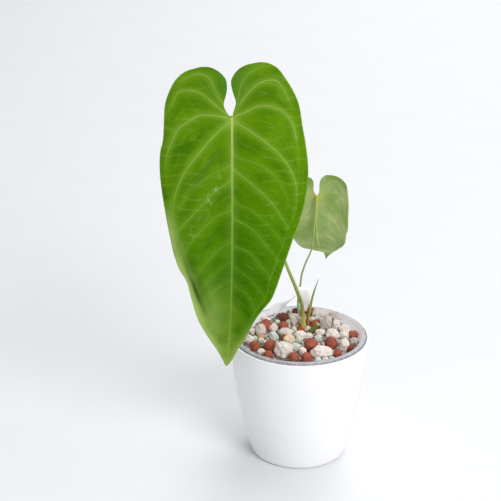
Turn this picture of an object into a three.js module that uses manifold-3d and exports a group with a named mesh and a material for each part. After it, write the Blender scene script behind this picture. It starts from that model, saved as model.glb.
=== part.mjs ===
// Anthurium queremalense in a white cover pot.
// Millimetres, +Z up, the pot's axis on Z and its foot on Z = 0. The large leaf faces -Y.
import * as THREE from "three";
import { mergeVertices } from "three/addons/utils/BufferGeometryUtils.js";
import Module from "manifold-3d";

const wasm = await Module();
wasm.setup();

// Driving dimensions

const GAP = 0.3; // clearance between pieces that carry or touch each other
const ROUND = 48; // sides of everything turned about the pot's axis

const POT = {
  height: 127.5,
  rimRadius: 70,
  footRadius: 48.9,
  bulge: 1.7, // power of the side's curve from foot to rim
  footRound: 4,
  lip: 2.2, // wall at the rim
  wall: 4.5, // wall lower down
  floor: 8,
};

const LINER = {
  top: 129.3, // the clear grow pot stands a little proud of the cover pot
  mouthRadius: 63,
  flangeRadius: 66.7,
  skirt: 3.6, // height of the turned-down edge
  baseRadius: 42.2,
  wall: 1,
  drains: 6,
  drainRadius: 4,
  drainCircle: 27,
};

const BED = {
  top: 118.6, // level that the loose stones are sunk into
  rise: 0.3, // slope of the heap behind heapStart
  heapStart: 26,
  stand: 0.28, // a stone's centre above that level, as a share of its height
};

// Fired clay balls: x, y, diameter
const CLAY = [
  [-45.5, -14.3, 11], [-29.5, -15, 13.5], [-32, -33, 9.6], [-6.8, -38.8, 10.4],
  [5.7, -40.4, 11.8], [10.7, -13.5, 13.6], [31.3, -9.6, 13.4], [36.8, -29.6, 8.8],
  [49.9, -17.2, 8.2], [55.2, 11.5, 10], [16.7, 31.3, 11], [-34, 30.9, 12.4],
  [-15.1, 42.1, 10.5], [-15.5, 30.6, 9.9], [-2.8, 52.4, 8], [13.6, 53, 8.2], [-16.2, 9.6, 6.2],
];

// Pumice lumps: x, y, width, height
const PUMICE = [
  [-17, -27, 19, 18], [21.3, -27.8, 21.4, 12], [-13.7, 19.5, 15.2, 9], [0.6, 11.3, 12.2, 10.2],
  [9.4, 11, 7.4, 7], [-39.8, 22.6, 12, 12], [-26.4, 27.8, 9.6, 9], [-51.2, 1.1, 8.8, 10.2],
  [-39.3, -24.1, 8.2, 6.8], [2.2, -25.5, 7.8, 9.2], [21.7, 19.2, 10.4, 7.6],
  [28.2, 31.8, 13.4, 17.6], [38.8, 29.8, 8.4, 12.4], [34.2, 13.2, 13.8, 10.6],
  [47, 25.4, 12, 10], [44, -15.3, 10, 15.2], [37, 43.5, 13.2, 9.6], [20.8, 49, 13.4, 9],
  [14.1, 41.3, 7.4, 6.2], [-4.6, 39.6, 10, 13.2], [54.6, -2.9, 10, 9.2], [24.2, -40.4, 7.2, 5],
  [9.4, 26.6, 7.2, 6.4], [-34.2, 42.2, 10.4, 5.6], [-48.1, 22.3, 6.2, 7.2],
  [46.4, 12.4, 12.2, 8.8], [-26.6, 17.4, 7.2, 5],
];

// Zeolite and lava chips: x, y, size
const CHIPS = [
  [-25.8, 8.9, 8.2], [-39, 1.7, 5.6], [-45.4, 7.2, 4.8], [-3.8, -15.8, 9.8], [-0.9, 1.6, 7.4],
  [19.3, 6.7, 7.2], [-22.1, 38.2, 5.2], [-10.5, 38.6, 5.6], [20.3, 41.7, 6.8], [40.6, 38.9, 5.2],
  [16.6, -43.5, 6.6], [30.6, -37.9, 5.2], [-4.7, 26.5, 5.2], [-39.9, 12.8, 5.8], [-10.5, 1.4, 11.2],
];

// How both blades are bent. Distances across are shares of the blade's half width.
const BLADE = {
  shoulder: 0.78, // share of the margin that lies below the stalk
  columns: [0, 0.04, 0.2, 0.42, 0.66, 0.87, 1],
  crown: 11, // rise of each half beside the midrib
  droop: 17, // fall of its margin
  ripple: 1.4, // height of the margin's waves
  rippleLength: 92,
  sway: 5, // power of the midrib's turn to the side near the tip
  foldCentre: 174, // where the crease along the lower left margin is deepest
  foldLength: 34,
  foldLine: 0.84, // the crease's place between midrib and margin
  foldWidth: 0.13,
};

// A blade's half outlines on the flat, before scaling: b down the midrib from the leaf stalk, a
// across it. A margin runs from the tip round to the top of its basal lobe, a sinus from the stalk
// to the same point. Lean is the midrib's angle from the vertical in degrees, as powers of
// b / length, and the lobes above the stalk keep the angle they start with.
const LARGE = {
  length: 247.5,
  half: 68.5,
  tipSway: -6.2, // how far the tip lies off the straight midrib
  margins: {
    left: [[-6.2, 247.5], [-7.5, 246.5], [-9.7, 241], [-15, 229.5], [-22.9, 216.2], [-32.6, 197.2],
      [-38.5, 176.9], [-43.6, 158], [-49.4, 147.7], [-54.4, 133.8], [-59.2, 110], [-66.2, 66],
      [-67.4, 50], [-66.6, 34], [-64, 23], [-63, 10], [-61.7, -10], [-58.2, -21], [-52.2, -32],
      [-43.4, -39.8], [-28.7, -44.5]],
    right: [[-6.2, 247.5], [-4.9, 246.6], [-1.2, 241.3], [4.3, 229.8], [12.2, 216.4], [21.4, 197.1],
      [28.3, 186.7], [36.3, 176.6], [40.6, 166.5], [47, 146.7], [54, 125.5], [66, 89],
      [70.3, 62], [70.5, 46], [67.7, 23.4], [65.5, 12], [61.7, -10], [57.1, -21], [50.6, -32],
      [41.3, -43.8], [33, -48], [26.1, -48.9]],
  },
  sinuses: {
    left: [[0, 1.9], [-4.1, -1.9], [-7.3, -8.3], [-7.3, -12], [-5.3, -19.3], [-4.5, -26.5],
      [-6.1, -33.8], [-12.3, -40.2], [-19.6, -43.8], [-28.7, -44.5]],
    right: [[0, 1.9], [1.7, -4.6], [3.6, -12], [1.4, -19.3], [-0.3, -26.5], [0, -33.8],
      [4.9, -41.1], [12.4, -45.8], [26.1, -48.9]],
  },
  scale: [1, 1],
  stalk: [-67, -42, 372],
  facing: 0,
  lean: [16, -20],
  rows: [20, 8],
  thick: 0.8,
  rib: 1.5,
  fold: 4,
};
const SMALL = {
  length: 251,
  half: 68.5,
  tipSway: 2,
  margins: {
    left: [[2, 251], [0, 236], [-3, 221], [-11, 218], [-21, 214], [-33, 187], [-43, 135],
      [-51, 108], [-60, 72], [-63, 42], [-61, 12], [-53, -16], [-40, -32], [-22, -37]],
    right: [[2, 251], [8, 241], [21, 221], [33, 180], [43, 142], [56, 116], [64, 98], [67, 77],
      [70, 69], [71, 40], [71, 11], [67, -18], [63, -30], [54, -38], [43, -43], [27, -45]],
  },
  sinuses: {
    left: [[0, 0], [-4, -3], [-8, -11], [-8, -21], [-9, -29], [-14, -35], [-22, -37]],
    right: [[0, 0], [3, -3], [5, -12], [5, -22], [7, -33], [16, -42.5], [27, -45]],
  },
  scale: [-0.48, 0.52],
  stalk: [19.1, 88, 245.4],
  facing: 168,
  lean: [0, -93, 619, -506],
  rows: [20, 8],
  thick: 0.7,
  rib: 0.9,
  fold: 0,
};

const CROWN = { centre: [5, 33, 112.5], radii: [9.5, 9, 11] };
const ROOTS = {
  count: 6,
  radius: 1.6,
  reach: 25,
  depth: 78,
  droop: 14,
  inward: 0.2, // how near the pot's axis the roots' ends are centred, as a share of the crown's place
  sway: 3,
  sides: 5,
  steps: 6,
};

const STALKS = {
  petiole_large: {
    path: [[4.8, 30.2, 114], [5, 30.2, 122], [4.3, 28.8, 132], [2.4, 24, 149.7], [-2.5, 16, 168],
      [-7.2, 9, 183], [-12.8, 1, 200], [-38, -18, 277], [-57, -28, 338], [-65, -31.8, 360.5],
      [-67, -35.8, 367.6], [-67, -39.8, 369.3]],
    radii: [[0, 2.7], [0.04, 2.6], [0.1, 2.05], [0.3, 1.65], [0.93, 1.5], [0.975, 2.1], [1, 1.9]],
    sides: 8,
    steps: 28,
  },
  petiole_small: {
    path: [[0.4, 39, 115], [0.2, 42, 124], [-0.4, 50, 137.2], [0.3, 58, 146], [2.2, 63, 155],
      [3.8, 66.7, 165.5], [7.6, 70.5, 176.3], [13.4, 75.5, 188.6], [17.1, 81, 220.2], [18.5, 82.8, 239],
      [18.7, 84.9, 244.8]],
    radii: [[0, 1.5], [0.1, 1.15], [0.3, 0.95], [0.93, 0.9], [1, 1.2]],
    sides: 7,
    steps: 22,
  },
  new_leaf_spike: {
    path: [[8.9, 34.8, 116], [9.8, 34.6, 128], [12, 34.2, 144], [15, 34, 159], [19.6, 34, 174]],
    radii: [[0, 1.35], [0.4, 1.4], [0.75, 0.9], [1, 0.25]],
    sides: 7,
    steps: 10,
  },
  petiole_stub: {
    path: [[7, 17, 116.8], [10.6, 16.6, 122.6], [19.4, 16, 132]],
    radii: [[0, 2.1], [1, 1.9]],
    sides: 8,
    steps: 4,
  },
};

const SHEATH = { from: 0.02, to: 0.52, stand: 0.35, thick: 0.6, start: 105, sweep: 165, columns: 5 };

// The blank plant label, a strip bent in a loop: centre line, then half its width at each point.
const LABEL = {
  thick: 0.7,
  centre: [[6.8, 55, 108], [6.8, 57.3, 118], [6.8, 59.2, 126], [7.7, 57.6, 134], [8, 54.3, 141],
    [6.4, 52.3, 147], [5.2, 51.2, 152], [5.1, 51.2, 155], [5, 52.4, 156.8], [4.4, 54.2, 155.6],
    [2.4, 54.8, 152.6], [-1.2, 53.8, 149], [-3.4, 52.6, 146.8], [-6, 51.9, 143.9],
    [-9.5, 52, 141.5], [-14.2, 53.6, 137.4], [-19, 55.6, 133.6], [-24.8, 53.8, 129.3],
    [-30, 49.8, 122.7], [-33.5, 45, 114.5]],
  half: [[2, 0, 0], [2.8, 0, 0], [3.6, 0, 0], [5.5, 0, 0], [5.6, 0, 0], [6.3, 0, 0], [6.4, 0, 0],
    [6.3, 0, 0], [6, 0, 0], [5, 0.8, 0.4], [3.2, 2.2, 0.8], [1.5, 3.4, -0.6], [-0.1, 4.6, -1.7],
    [-0.3, 4.8, -2], [-0.5, 4.8, -1.8], [-1.2, 4.7, -0.4], [-2.6, 3.4, 2.2], [-3.2, 2.2, 3.4],
    [-3.2, 2, 3.2], [-2.8, 2, 2.4]],
  steps: 44,
};

const COLOURS = {
  ceramic: 0xf1f1f2,
  clear: 0xb9bcc4,
  pumice: 0xd9d3ce,
  clay: 0x9a4a33,
  root: 0xb0452c,
  stalk: 0x7f9a45,
  stalkSmall: 0x5f8a4e,
  leaf: 0x4f8a0c,
  leafBack: 0x7f9f5c,
  spike: 0x8aa83c,
  sheath: 0x9c3b30,
  stub: 0x4f8526,
  label: 0xf3f3f4,
};

// Helpers for closed solids

// A seeded draw between 0 and 1.
function draw(seed) {
  let state = seed;
  return () => {
    state = (state * 1664525 + 1013904223) % 4294967296;
    return state / 4294967296;
  };
}

// Shared vertices merged, flat slivers dropped, faces turned outwards.
function closed(geometry) {
  const bare = new THREE.BufferGeometry();
  bare.setAttribute("position", geometry.getAttribute("position"));
  bare.setIndex(geometry.getIndex());
  const merged = mergeVertices(bare, 1e-4);
  const position = merged.getAttribute("position");
  const index = merged.getIndex().array;
  const kept = [];
  let volume = 0;
  const [p, q, r] = [new THREE.Vector3(), new THREE.Vector3(), new THREE.Vector3()];
  for (let i = 0; i < index.length; i += 3) {
    const [a, b, c] = [index[i], index[i + 1], index[i + 2]];
    if (a === b || b === c || c === a) continue;
    kept.push(a, b, c);
    p.fromBufferAttribute(position, a);
    q.fromBufferAttribute(position, b);
    r.fromBufferAttribute(position, c);
    volume += p.dot(q.cross(r));
  }
  if (volume < 0) kept.reverse();
  merged.setIndex(kept);
  return merged;
}

function solid(geometry) {
  const body = closed(geometry);
  return new wasm.Manifold(new wasm.Mesh({
    numProp: 3,
    vertProperties: Float32Array.from(body.getAttribute("position").array),
    triVerts: Uint32Array.from(body.getIndex().array),
  }));
}

// The largest body of a solid, as a geometry.
function shape(manifold) {
  const bodies = manifold.decompose().sort((one, other) => other.volume() - one.volume());
  const mesh = bodies[0].getMesh();
  const geometry = new THREE.BufferGeometry();
  geometry.setAttribute("position", new THREE.BufferAttribute(mesh.vertProperties, 3));
  geometry.setIndex(new THREE.BufferAttribute(mesh.triVerts, 1));
  return geometry;
}

// A closed profile of [radius, height] turned about Z.
function turned(profile, sides = ROUND) {
  const points = profile.map(([radius, height]) => new THREE.Vector2(radius, height));
  return closed(new THREE.LatheGeometry(points, sides).rotateX(Math.PI / 2));
}

// The value at t of a line through [t, value] pairs.
function along(pairs, t) {
  const next = Math.max(1, pairs.findIndex(([at]) => at >= t));
  const [from, to] = [pairs[next - 1], pairs[next]];
  return THREE.MathUtils.mapLinear(t, from[0], to[0], from[1], to[1]);
}

// A stalk of round section along a curve. grow fattens and lengthens it all round.
function stalk({ path, radii, sides, steps }, grow = 0) {
  const curve = new THREE.CatmullRomCurve3(path.map((point) => new THREE.Vector3(...point)));
  const corners = Array.from({ length: sides }, (unused, i) => {
    const angle = (i / sides) * 2 * Math.PI;
    return new THREE.Vector2(Math.cos(angle), Math.sin(angle));
  });
  const geometry = new THREE.ExtrudeGeometry(new THREE.Shape(corners), {
    steps, extrudePath: curve, bevelEnabled: false,
  });
  const stations = curve.getSpacedPoints(steps);
  const position = geometry.getAttribute("position");
  const vertex = new THREE.Vector3();
  for (let i = 0; i < position.count; i++) {
    vertex.fromBufferAttribute(position, i);
    const distances = stations.map((station) => station.distanceTo(vertex));
    const step = distances.indexOf(Math.min(...distances));
    const t = step / steps;
    vertex.sub(stations[step]).multiplyScalar(along(radii, t) + grow).add(stations[step]);
    const push = step === 0 ? -grow : step === steps ? grow : 0;
    vertex.addScaledVector(curve.getTangentAt(t), push);
    position.setXYZ(i, ...vertex);
  }
  return closed(geometry);
}

// A thin sheet between two like grids of points, closed round every free edge.
function sheet(front, back, faces) {
  const count = front.length;
  const index = [];
  const rim = new Map();
  for (const [i, j, k] of faces) {
    index.push(i, j, k, count + k, count + j, count + i);
    for (const [from, to] of [[i, j], [j, k], [k, i]]) {
      if (!rim.delete(`${to} ${from}`)) rim.set(`${from} ${to}`, [from, to]);
    }
  }
  for (const [from, to] of rim.values()) {
    index.push(to, from, count + from, to, count + from, count + to);
  }
  const geometry = new THREE.BufferGeometry().setFromPoints([...front, ...back]);
  geometry.setIndex(index);
  return closed(geometry);
}

// Two triangles for each square of a grid of rows by columns.
function gridFaces(rows, columns) {
  const faces = [];
  for (let row = 0; row + 1 < rows; row++) {
    for (let column = 0; column + 1 < columns; column++) {
      const corner = row * columns + column;
      faces.push([corner, corner + 1, corner + columns + 1]);
      faces.push([corner, corner + columns + 1, corner + columns]);
    }
  }
  return faces;
}

// Cover pot and grow pot

function potRadius(height) {
  const { rimRadius, footRadius, bulge } = POT;
  return rimRadius - (rimRadius - footRadius) * (1 - height / POT.height) ** bulge;
}

function coverPot() {
  const { height, footRound, lip, wall, floor } = POT;
  const outside = [[0, 0], [potRadius(0) - footRound, 0]];
  for (const angle of [30, 60]) {
    const turn = THREE.MathUtils.degToRad(angle);
    const back = footRound * (1 - Math.sin(turn));
    outside.push([potRadius(footRound) - back, footRound * (1 - Math.cos(turn))]);
  }
  for (const level of [4, 16, 30, 46, 64, 84, 106, 126.4]) outside.push([potRadius(level), level]);
  const rim = [[potRadius(height) - 0.7, height], [potRadius(height) - lip + 0.5, height]];
  const inside = [[potRadius(height) - lip, height - 0.6], [potRadius(120) - lip - 0.3, 120]];
  for (const level of [98, 72, 46, 24, floor + 3]) inside.push([potRadius(level) - wall, level]);
  inside.push([potRadius(floor) - wall - 3, floor], [0, floor]);
  return turned([...outside, ...rim, ...inside]);
}

// Inner radius of the grow pot at a height.
function linerRadius(height) {
  const bottom = POT.floor + GAP + LINER.wall + 1.5;
  return THREE.MathUtils.mapLinear(
    height, bottom, LINER.top - 0.5, LINER.baseRadius, LINER.mouthRadius);
}

function growPot() {
  const { top, flangeRadius, skirt, baseRadius, wall, mouthRadius } = LINER;
  const bottom = POT.floor + GAP;
  const under = top - 2.6;
  const skirtEnd = top - 1.1 - skirt;
  const outside = [
    [0, bottom], [baseRadius - 1.7, bottom], [linerRadius(bottom + 2) + wall, bottom + 2],
    [linerRadius(under) + wall, under], [flangeRadius - wall, under],
    [flangeRadius - wall, skirtEnd], [flangeRadius, skirtEnd],
  ];
  const flange = [
    [flangeRadius, top - 1.3], [flangeRadius - 0.6, top - 0.7], [mouthRadius + 1.2, top],
    [mouthRadius + 0.4, top], [mouthRadius, top - 0.5],
  ];
  const inside = [
    [baseRadius, bottom + wall + 1.5], [baseRadius - 1.7, bottom + wall], [0, bottom + wall],
  ];
  let pot = solid(turned([...outside, ...flange, ...inside]));
  const { drains, drainRadius, drainCircle } = LINER;
  for (let i = 0; i < drains; i++) {
    const angle = (i / drains) * 2 * Math.PI;
    const drain = new THREE.CylinderGeometry(drainRadius, drainRadius, 6 * wall, 12);
    drain.rotateX(Math.PI / 2);
    drain.translate(drainCircle * Math.cos(angle), drainCircle * Math.sin(angle), bottom);
    pot = pot.subtract(solid(drain));
  }
  return shape(pot);
}

// Stones

function bedLevel(y) {
  return BED.top + BED.rise * Math.max(0, y - BED.heapStart);
}

// A stone of unit radius: roughness is how far its corners are drawn in or out.
function stone(detail, roughness, random) {
  const geometry = closed(new THREE.IcosahedronGeometry(1, detail));
  const position = geometry.getAttribute("position");
  const vertex = new THREE.Vector3();
  for (let i = 0; i < position.count; i++) {
    vertex.fromBufferAttribute(position, i);
    vertex.multiplyScalar(1 + roughness * (2 * random() - 1));
    position.setXYZ(i, ...vertex);
  }
  return geometry.rotateZ(2 * Math.PI * random());
}

function clayBall([x, y, diameter], unit, grow = 0) {
  const radius = diameter / 2 + grow;
  const z = bedLevel(y) + BED.stand * diameter;
  return unit.clone().scale(radius, radius, radius).translate(x, y, z);
}

function lumps(random) {
  const made = [];
  for (const [x, y, width, height] of PUMICE) {
    const unit = stone(width > 6.5 ? 1 : 0, 0.13, random);
    unit.scale(width / 2, (width + height) / 4, height / 2);
    made.push(solid(unit.translate(x, y, bedLevel(y) + BED.stand * height)));
  }
  for (const [x, y, size] of CHIPS) {
    const unit = stone(0, 0.16, random).scale(size / 2, size / 2, size / 2);
    made.push(solid(unit.translate(x, y, bedLevel(y) + BED.stand * size)));
  }
  return made;
}

// The fill of the grow pot, heaped a little behind, before anything is set into it.
function fill() {
  const floor = POT.floor + GAP + LINER.wall;
  const low = floor + GAP;
  const inner = LINER.baseRadius - GAP;
  const edge = linerRadius(BED.top) - GAP;
  const geometry = turned([
    [0, low], [inner - 1.8, low], [linerRadius(floor + 2) - GAP, floor + 2],
    [edge, BED.top], [50, BED.top], [0, BED.top],
  ]);
  const position = geometry.getAttribute("position");
  for (let i = 0; i < position.count; i++) {
    if (position.getZ(i) > BED.top - 1) {
      const lift = bedLevel(position.getY(i)) - BED.top;
      const out = Math.hypot(position.getX(i), position.getY(i)) > edge - 1 ? 0 : lift;
      position.setZ(i, BED.top + out);
    }
  }
  return geometry;
}

// Everything inside the grow pot's wall, up past its rim.
function insideLiner() {
  const floor = POT.floor + GAP + LINER.wall;
  return turned([
    [0, floor], [LINER.baseRadius, floor], [linerRadius(floor + 2) - GAP, floor + 2],
    [LINER.mouthRadius - GAP, LINER.top - 0.5], [LINER.mouthRadius - GAP, LINER.top + 20],
    [0, LINER.top + 20],
  ]);
}

// Stem and roots

function crown(grow = 0) {
  const [rx, ry, rz] = CROWN.radii;
  const geometry = new THREE.SphereGeometry(1, 12, 8).rotateX(Math.PI / 2);
  return geometry.scale(rx + grow, ry + grow, rz + grow).translate(...CROWN.centre);
}

function rootSystem(grow = 0) {
  const { count, radius, reach, depth, droop, inward, sway, sides, steps } = ROOTS;
  const [x, y, z] = CROWN.centre;
  let system = solid(crown(grow));
  for (let i = 0; i < count; i++) {
    const angle = ((i + 0.3) / count) * 2 * Math.PI;
    const end = [x * inward + reach * Math.cos(angle), y * inward + reach * Math.sin(angle)];
    const long = depth - 9 * (i % 3);
    const path = [0, 0.3, 0.65, 1].map((t) => [
      THREE.MathUtils.lerp(x, end[0], Math.sqrt(t)) + sway * t * Math.sin(5 * t + i),
      THREE.MathUtils.lerp(y, end[1], Math.sqrt(t)) + sway * t * Math.cos(4 * t + 2 * i),
      z - 4 - droop * t - (long - droop) * t * t,
    ]);
    const radii = [[0, radius * 1.3], [1, radius * 0.7]];
    system = system.add(solid(stalk({ path, radii, sides, steps }, grow)));
  }
  return system;
}

// Blades

// The midrib's lean at b, and how far out and down it has come by there, summed in small steps.
function spine(leaf) {
  const length = leaf.length * Math.abs(leaf.scale[1]);
  const lean = (b) => {
    const share = Math.max(0, b / length);
    const degrees = leaf.lean.reduce((sum, part, power) => sum + part * share ** power, 0);
    return THREE.MathUtils.degToRad(degrees);
  };
  const place = (b) => {
    const steps = 60;
    let [out, down] = [0, 0];
    for (let i = 0; i < steps; i++) {
      const angle = lean(((i + 0.5) / steps) * b);
      out += (Math.sin(angle) * b) / steps;
      down += (Math.cos(angle) * b) / steps;
    }
    return [out, down];
  };
  return { lean, place };
}

// Where the midrib lies across the blade at b.
function ribPlace(leaf, b) {
  return leaf.tipSway * Math.max(0, b / leaf.length) ** BLADE.sway;
}

// The blade's upper face at a across and b down, both on the unscaled outline.
function bladePoint(leaf, rib, a, b) {
  const [wide, long] = leaf.scale;
  const turn = THREE.MathUtils.degToRad(leaf.facing);
  const ahead = new THREE.Vector3(Math.sin(turn), -Math.cos(turn), 0);
  const across = new THREE.Vector3(Math.cos(turn), Math.sin(turn), 0);
  const up = new THREE.Vector3(0, 0, 1);
  const lean = rib.lean(b * long);
  const [out, down] = rib.place(b * long);
  const fromRib = Math.abs(a - ribPlace(leaf, b));
  const share = fromRib / leaf.half;
  const wave = Math.sin((2 * Math.PI * b) / BLADE.rippleLength + (a < 0 ? 1.2 : 3.6));
  let lift = BLADE.crown * share - BLADE.droop * share ** 2 + BLADE.ripple * wave * share ** 3;
  if (a < 0) {
    const edge = leaf.half * (1 - ((b - 20) / 262) ** 2) ** 0.5;
    const offCrease = (fromRib / edge - BLADE.foldLine) / BLADE.foldWidth;
    const offCentre = (b - BLADE.foldCentre) / BLADE.foldLength;
    lift -= leaf.fold * Math.exp(-(offCrease ** 2) - offCentre ** 2);
  }
  const normal = ahead.clone().multiplyScalar(Math.cos(lean)).addScaledVector(up, Math.sin(lean));
  return new THREE.Vector3(...leaf.stalk)
    .addScaledVector(across, a * wide)
    .addScaledVector(ahead, out)
    .addScaledVector(up, -down)
    .addScaledVector(normal, lift * Math.abs(wide));
}

// One half's grid of [a, b, share across], rows from the tip up to the top of the lobe.
function halfGrid(leaf, side) {
  const margin = new THREE.SplineCurve(leaf.margins[side].map((point) => new THREE.Vector2(...point)));
  const sinus = new THREE.SplineCurve(leaf.sinuses[side].map((point) => new THREE.Vector2(...point)));
  const [below, above] = leaf.rows;
  const grid = [];
  for (let row = 0; row <= below + above; row++) {
    const up = row <= below ? row / below : (row - below) / above;
    const outer = margin.getPointAt(row <= below
      ? BLADE.shoulder * up : BLADE.shoulder + (1 - BLADE.shoulder) * up);
    const b = leaf.length + (leaf.sinuses[side][0][1] - leaf.length) * up;
    const inner = row <= below ? new THREE.Vector2(ribPlace(leaf, b), b) : sinus.getPointAt(up);
    for (const column of BLADE.columns) {
      const point = inner.clone().lerp(outer, column);
      grid.push([point.x, point.y, row <= below ? column : 1]);
    }
  }
  return grid;
}

function blade(leaf) {
  const rib = spine(leaf);
  const columns = BLADE.columns.length;
  const rows = leaf.rows[0] + leaf.rows[1] + 1;
  const places = [];
  const names = new Map();
  const faces = [];
  for (const side of ["left", "right"]) {
    const grid = halfGrid(leaf, side);
    const ids = grid.map(([a, b, share]) => {
      const key = `${a.toFixed(3)} ${b.toFixed(3)}`;
      if (!names.has(key)) {
        names.set(key, places.length);
        places.push([a, b, share]);
      }
      return names.get(key);
    });
    for (const [i, j, k] of gridFaces(rows, columns)) {
      const face = side === "left" ? [ids[i], ids[k], ids[j]] : [ids[i], ids[j], ids[k]];
      if (new Set(face).size === 3) faces.push(face);
    }
  }
  const front = places.map(([a, b]) => bladePoint(leaf, rib, a, b));
  const hand = Math.sign(leaf.scale[0]);
  const back = places.map(([a, b, share], i) => {
    const alongA = bladePoint(leaf, rib, a + 0.5, b).sub(bladePoint(leaf, rib, a - 0.5, b));
    const alongB = bladePoint(leaf, rib, a, b + 0.5).sub(bladePoint(leaf, rib, a, b - 0.5));
    const normal = alongB.cross(alongA).multiplyScalar(hand).normalize();
    const ridge = share < 0.01 ? leaf.rib * (1 - (0.75 * b) / leaf.length) : 0;
    return front[i].clone().addScaledVector(normal, -(leaf.thick + ridge));
  });
  return sheet(front, back, faces);
}

// Papery sheath round the back and left of the new leaf, narrowing to its tip
function cataphyll(grow = 0) {
  const { from, to, stand, thick, start, sweep, columns } = SHEATH;
  const spike = STALKS.new_leaf_spike;
  const curve = new THREE.CatmullRomCurve3(spike.path.map((point) => new THREE.Vector3(...point)));
  const rows = 7;
  const [front, back] = [[], []];
  for (let row = 0; row < rows; row++) {
    const up = row / (rows - 1);
    const t = THREE.MathUtils.lerp(from, to, up);
    const centre = curve.getPointAt(t);
    centre.z += grow * (2 * up - 1);
    const radius = along(spike.radii, t) + stand + 0.5 * up ** 2;
    const spread = sweep * (1 - 0.82 * up ** 1.6) + THREE.MathUtils.radToDeg((2 * grow) / radius);
    for (let column = 0; column < columns; column++) {
      const degrees = start + sweep / 2 + spread * (column / (columns - 1) - 0.5);
      const angle = THREE.MathUtils.degToRad(degrees);
      const out = new THREE.Vector3(Math.cos(angle), Math.sin(angle), 0);
      back.push(centre.clone().addScaledVector(out, radius - grow));
      front.push(centre.clone().addScaledVector(out, radius + thick + grow));
    }
  }
  return sheet(front, back, gridFaces(rows, columns));
}

// Label

function label(grow = 0) {
  const centre = new THREE.CatmullRomCurve3(LABEL.centre.map((point) => new THREE.Vector3(...point)));
  const half = new THREE.CatmullRomCurve3(LABEL.half.map((point) => new THREE.Vector3(...point)));
  const [front, back] = [[], []];
  for (let step = 0; step <= LABEL.steps; step++) {
    const t = step / LABEL.steps;
    const width = half.getPoint(t);
    width.setLength(width.length() + grow);
    const normal = centre.getTangent(t).cross(width).normalize();
    normal.multiplyScalar(LABEL.thick / 2 + grow);
    const middle = centre.getPoint(t);
    const end = step === 0 ? -grow : step === LABEL.steps ? grow : 0;
    middle.addScaledVector(centre.getTangent(t), end);
    for (const side of [-1, 1]) {
      const edge = middle.clone().addScaledVector(width, side);
      front.push(edge.clone().add(normal));
      back.push(edge.sub(normal));
    }
  }
  return sheet(front, back, gridFaces(LABEL.steps + 1, 2));
}

// Assembly

const plant = new THREE.Group();

function add(name, geometry, color, roughness) {
  const material = new THREE.MeshStandardMaterial({ color, roughness, metalness: 0 });
  const mesh = new THREE.Mesh(geometry, material);
  mesh.name = name;
  plant.add(mesh);
}

const random = draw(11);
const balls = CLAY.map((row) => [row, stone(1, 0.03, random)]);
const sockets = [
  ...Object.values(STALKS).map((one) => solid(stalk(one, GAP))),
  ...balls.map(([row, unit]) => solid(clayBall(row, unit, GAP))),
  solid(cataphyll(GAP)),
];

const bed = wasm.Manifold.union([solid(fill()), ...lumps(random)])
  .intersect(solid(insideLiner()))
  .subtract(wasm.Manifold.union([...sockets, rootSystem(GAP), solid(label(GAP))]));
const roots = rootSystem().subtract(wasm.Manifold.union(sockets));

add("cover_pot", coverPot(), COLOURS.ceramic, 0.55);
add("grow_pot", growPot(), COLOURS.clear, 0.3);
add("pumice_bed", shape(bed), COLOURS.pumice, 0.95);
balls.forEach(([row, unit], i) => {
  const name = `clay_ball_${String(i + 1).padStart(2, "0")}`;
  add(name, clayBall(row, unit), COLOURS.clay, 0.9);
});
add("root_stem", shape(roots), COLOURS.root, 0.8);
add("petiole_large", stalk(STALKS.petiole_large), COLOURS.stalk, 0.5);
add("leaf_large", blade(LARGE), COLOURS.leaf, 0.45);
add("petiole_small", stalk(STALKS.petiole_small), COLOURS.stalkSmall, 0.5);
add("leaf_small", blade(SMALL), COLOURS.leafBack, 0.5);
add("new_leaf_spike", stalk(STALKS.new_leaf_spike), COLOURS.spike, 0.5);
add("cataphyll", cataphyll(), COLOURS.sheath, 0.7);
add("petiole_stub", stalk(STALKS.petiole_stub), COLOURS.stub, 0.5);
add("plant_label", label(), COLOURS.label, 0.4);

export default plant;
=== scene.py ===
# %% [markdown]
# # An anthurium in a white cover pot
#
# A CAD model of this plant is already packed: its leaves, stalks, stones and pots stand at their
# real sizes, but plain. This lesson gives each of them its fine shape and its finish. The frame is
# loaded first, because every later piece goes where the CAD says, with no fitting.

import bpy
import numpy as np
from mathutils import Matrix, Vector


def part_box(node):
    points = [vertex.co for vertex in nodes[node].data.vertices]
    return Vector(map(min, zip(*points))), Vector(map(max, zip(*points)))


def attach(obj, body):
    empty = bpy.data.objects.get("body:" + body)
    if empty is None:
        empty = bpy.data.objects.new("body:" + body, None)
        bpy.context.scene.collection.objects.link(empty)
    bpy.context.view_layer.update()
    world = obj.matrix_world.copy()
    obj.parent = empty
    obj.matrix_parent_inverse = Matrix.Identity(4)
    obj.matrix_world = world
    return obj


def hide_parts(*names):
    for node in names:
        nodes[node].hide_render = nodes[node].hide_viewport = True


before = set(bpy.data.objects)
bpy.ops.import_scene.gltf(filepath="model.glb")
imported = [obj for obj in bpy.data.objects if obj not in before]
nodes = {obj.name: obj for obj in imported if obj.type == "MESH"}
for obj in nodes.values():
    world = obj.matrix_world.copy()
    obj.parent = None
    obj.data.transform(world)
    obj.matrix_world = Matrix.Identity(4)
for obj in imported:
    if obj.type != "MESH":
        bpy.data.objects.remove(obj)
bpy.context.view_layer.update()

# %% [markdown]
# ## Numbers and lines
#
# Blender works in metres, but a plant is easier to think about in millimetres. Sizes below are in
# millimetres, and MM turns them into metres when a mesh is made. Stalks, margins and veins are all
# smooth lines through a few points, so one function draws such a line: each point's slope comes
# from its neighbours, and the result is cut into equal steps.

# %% Units and smooth lines
MM = 0.001


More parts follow.
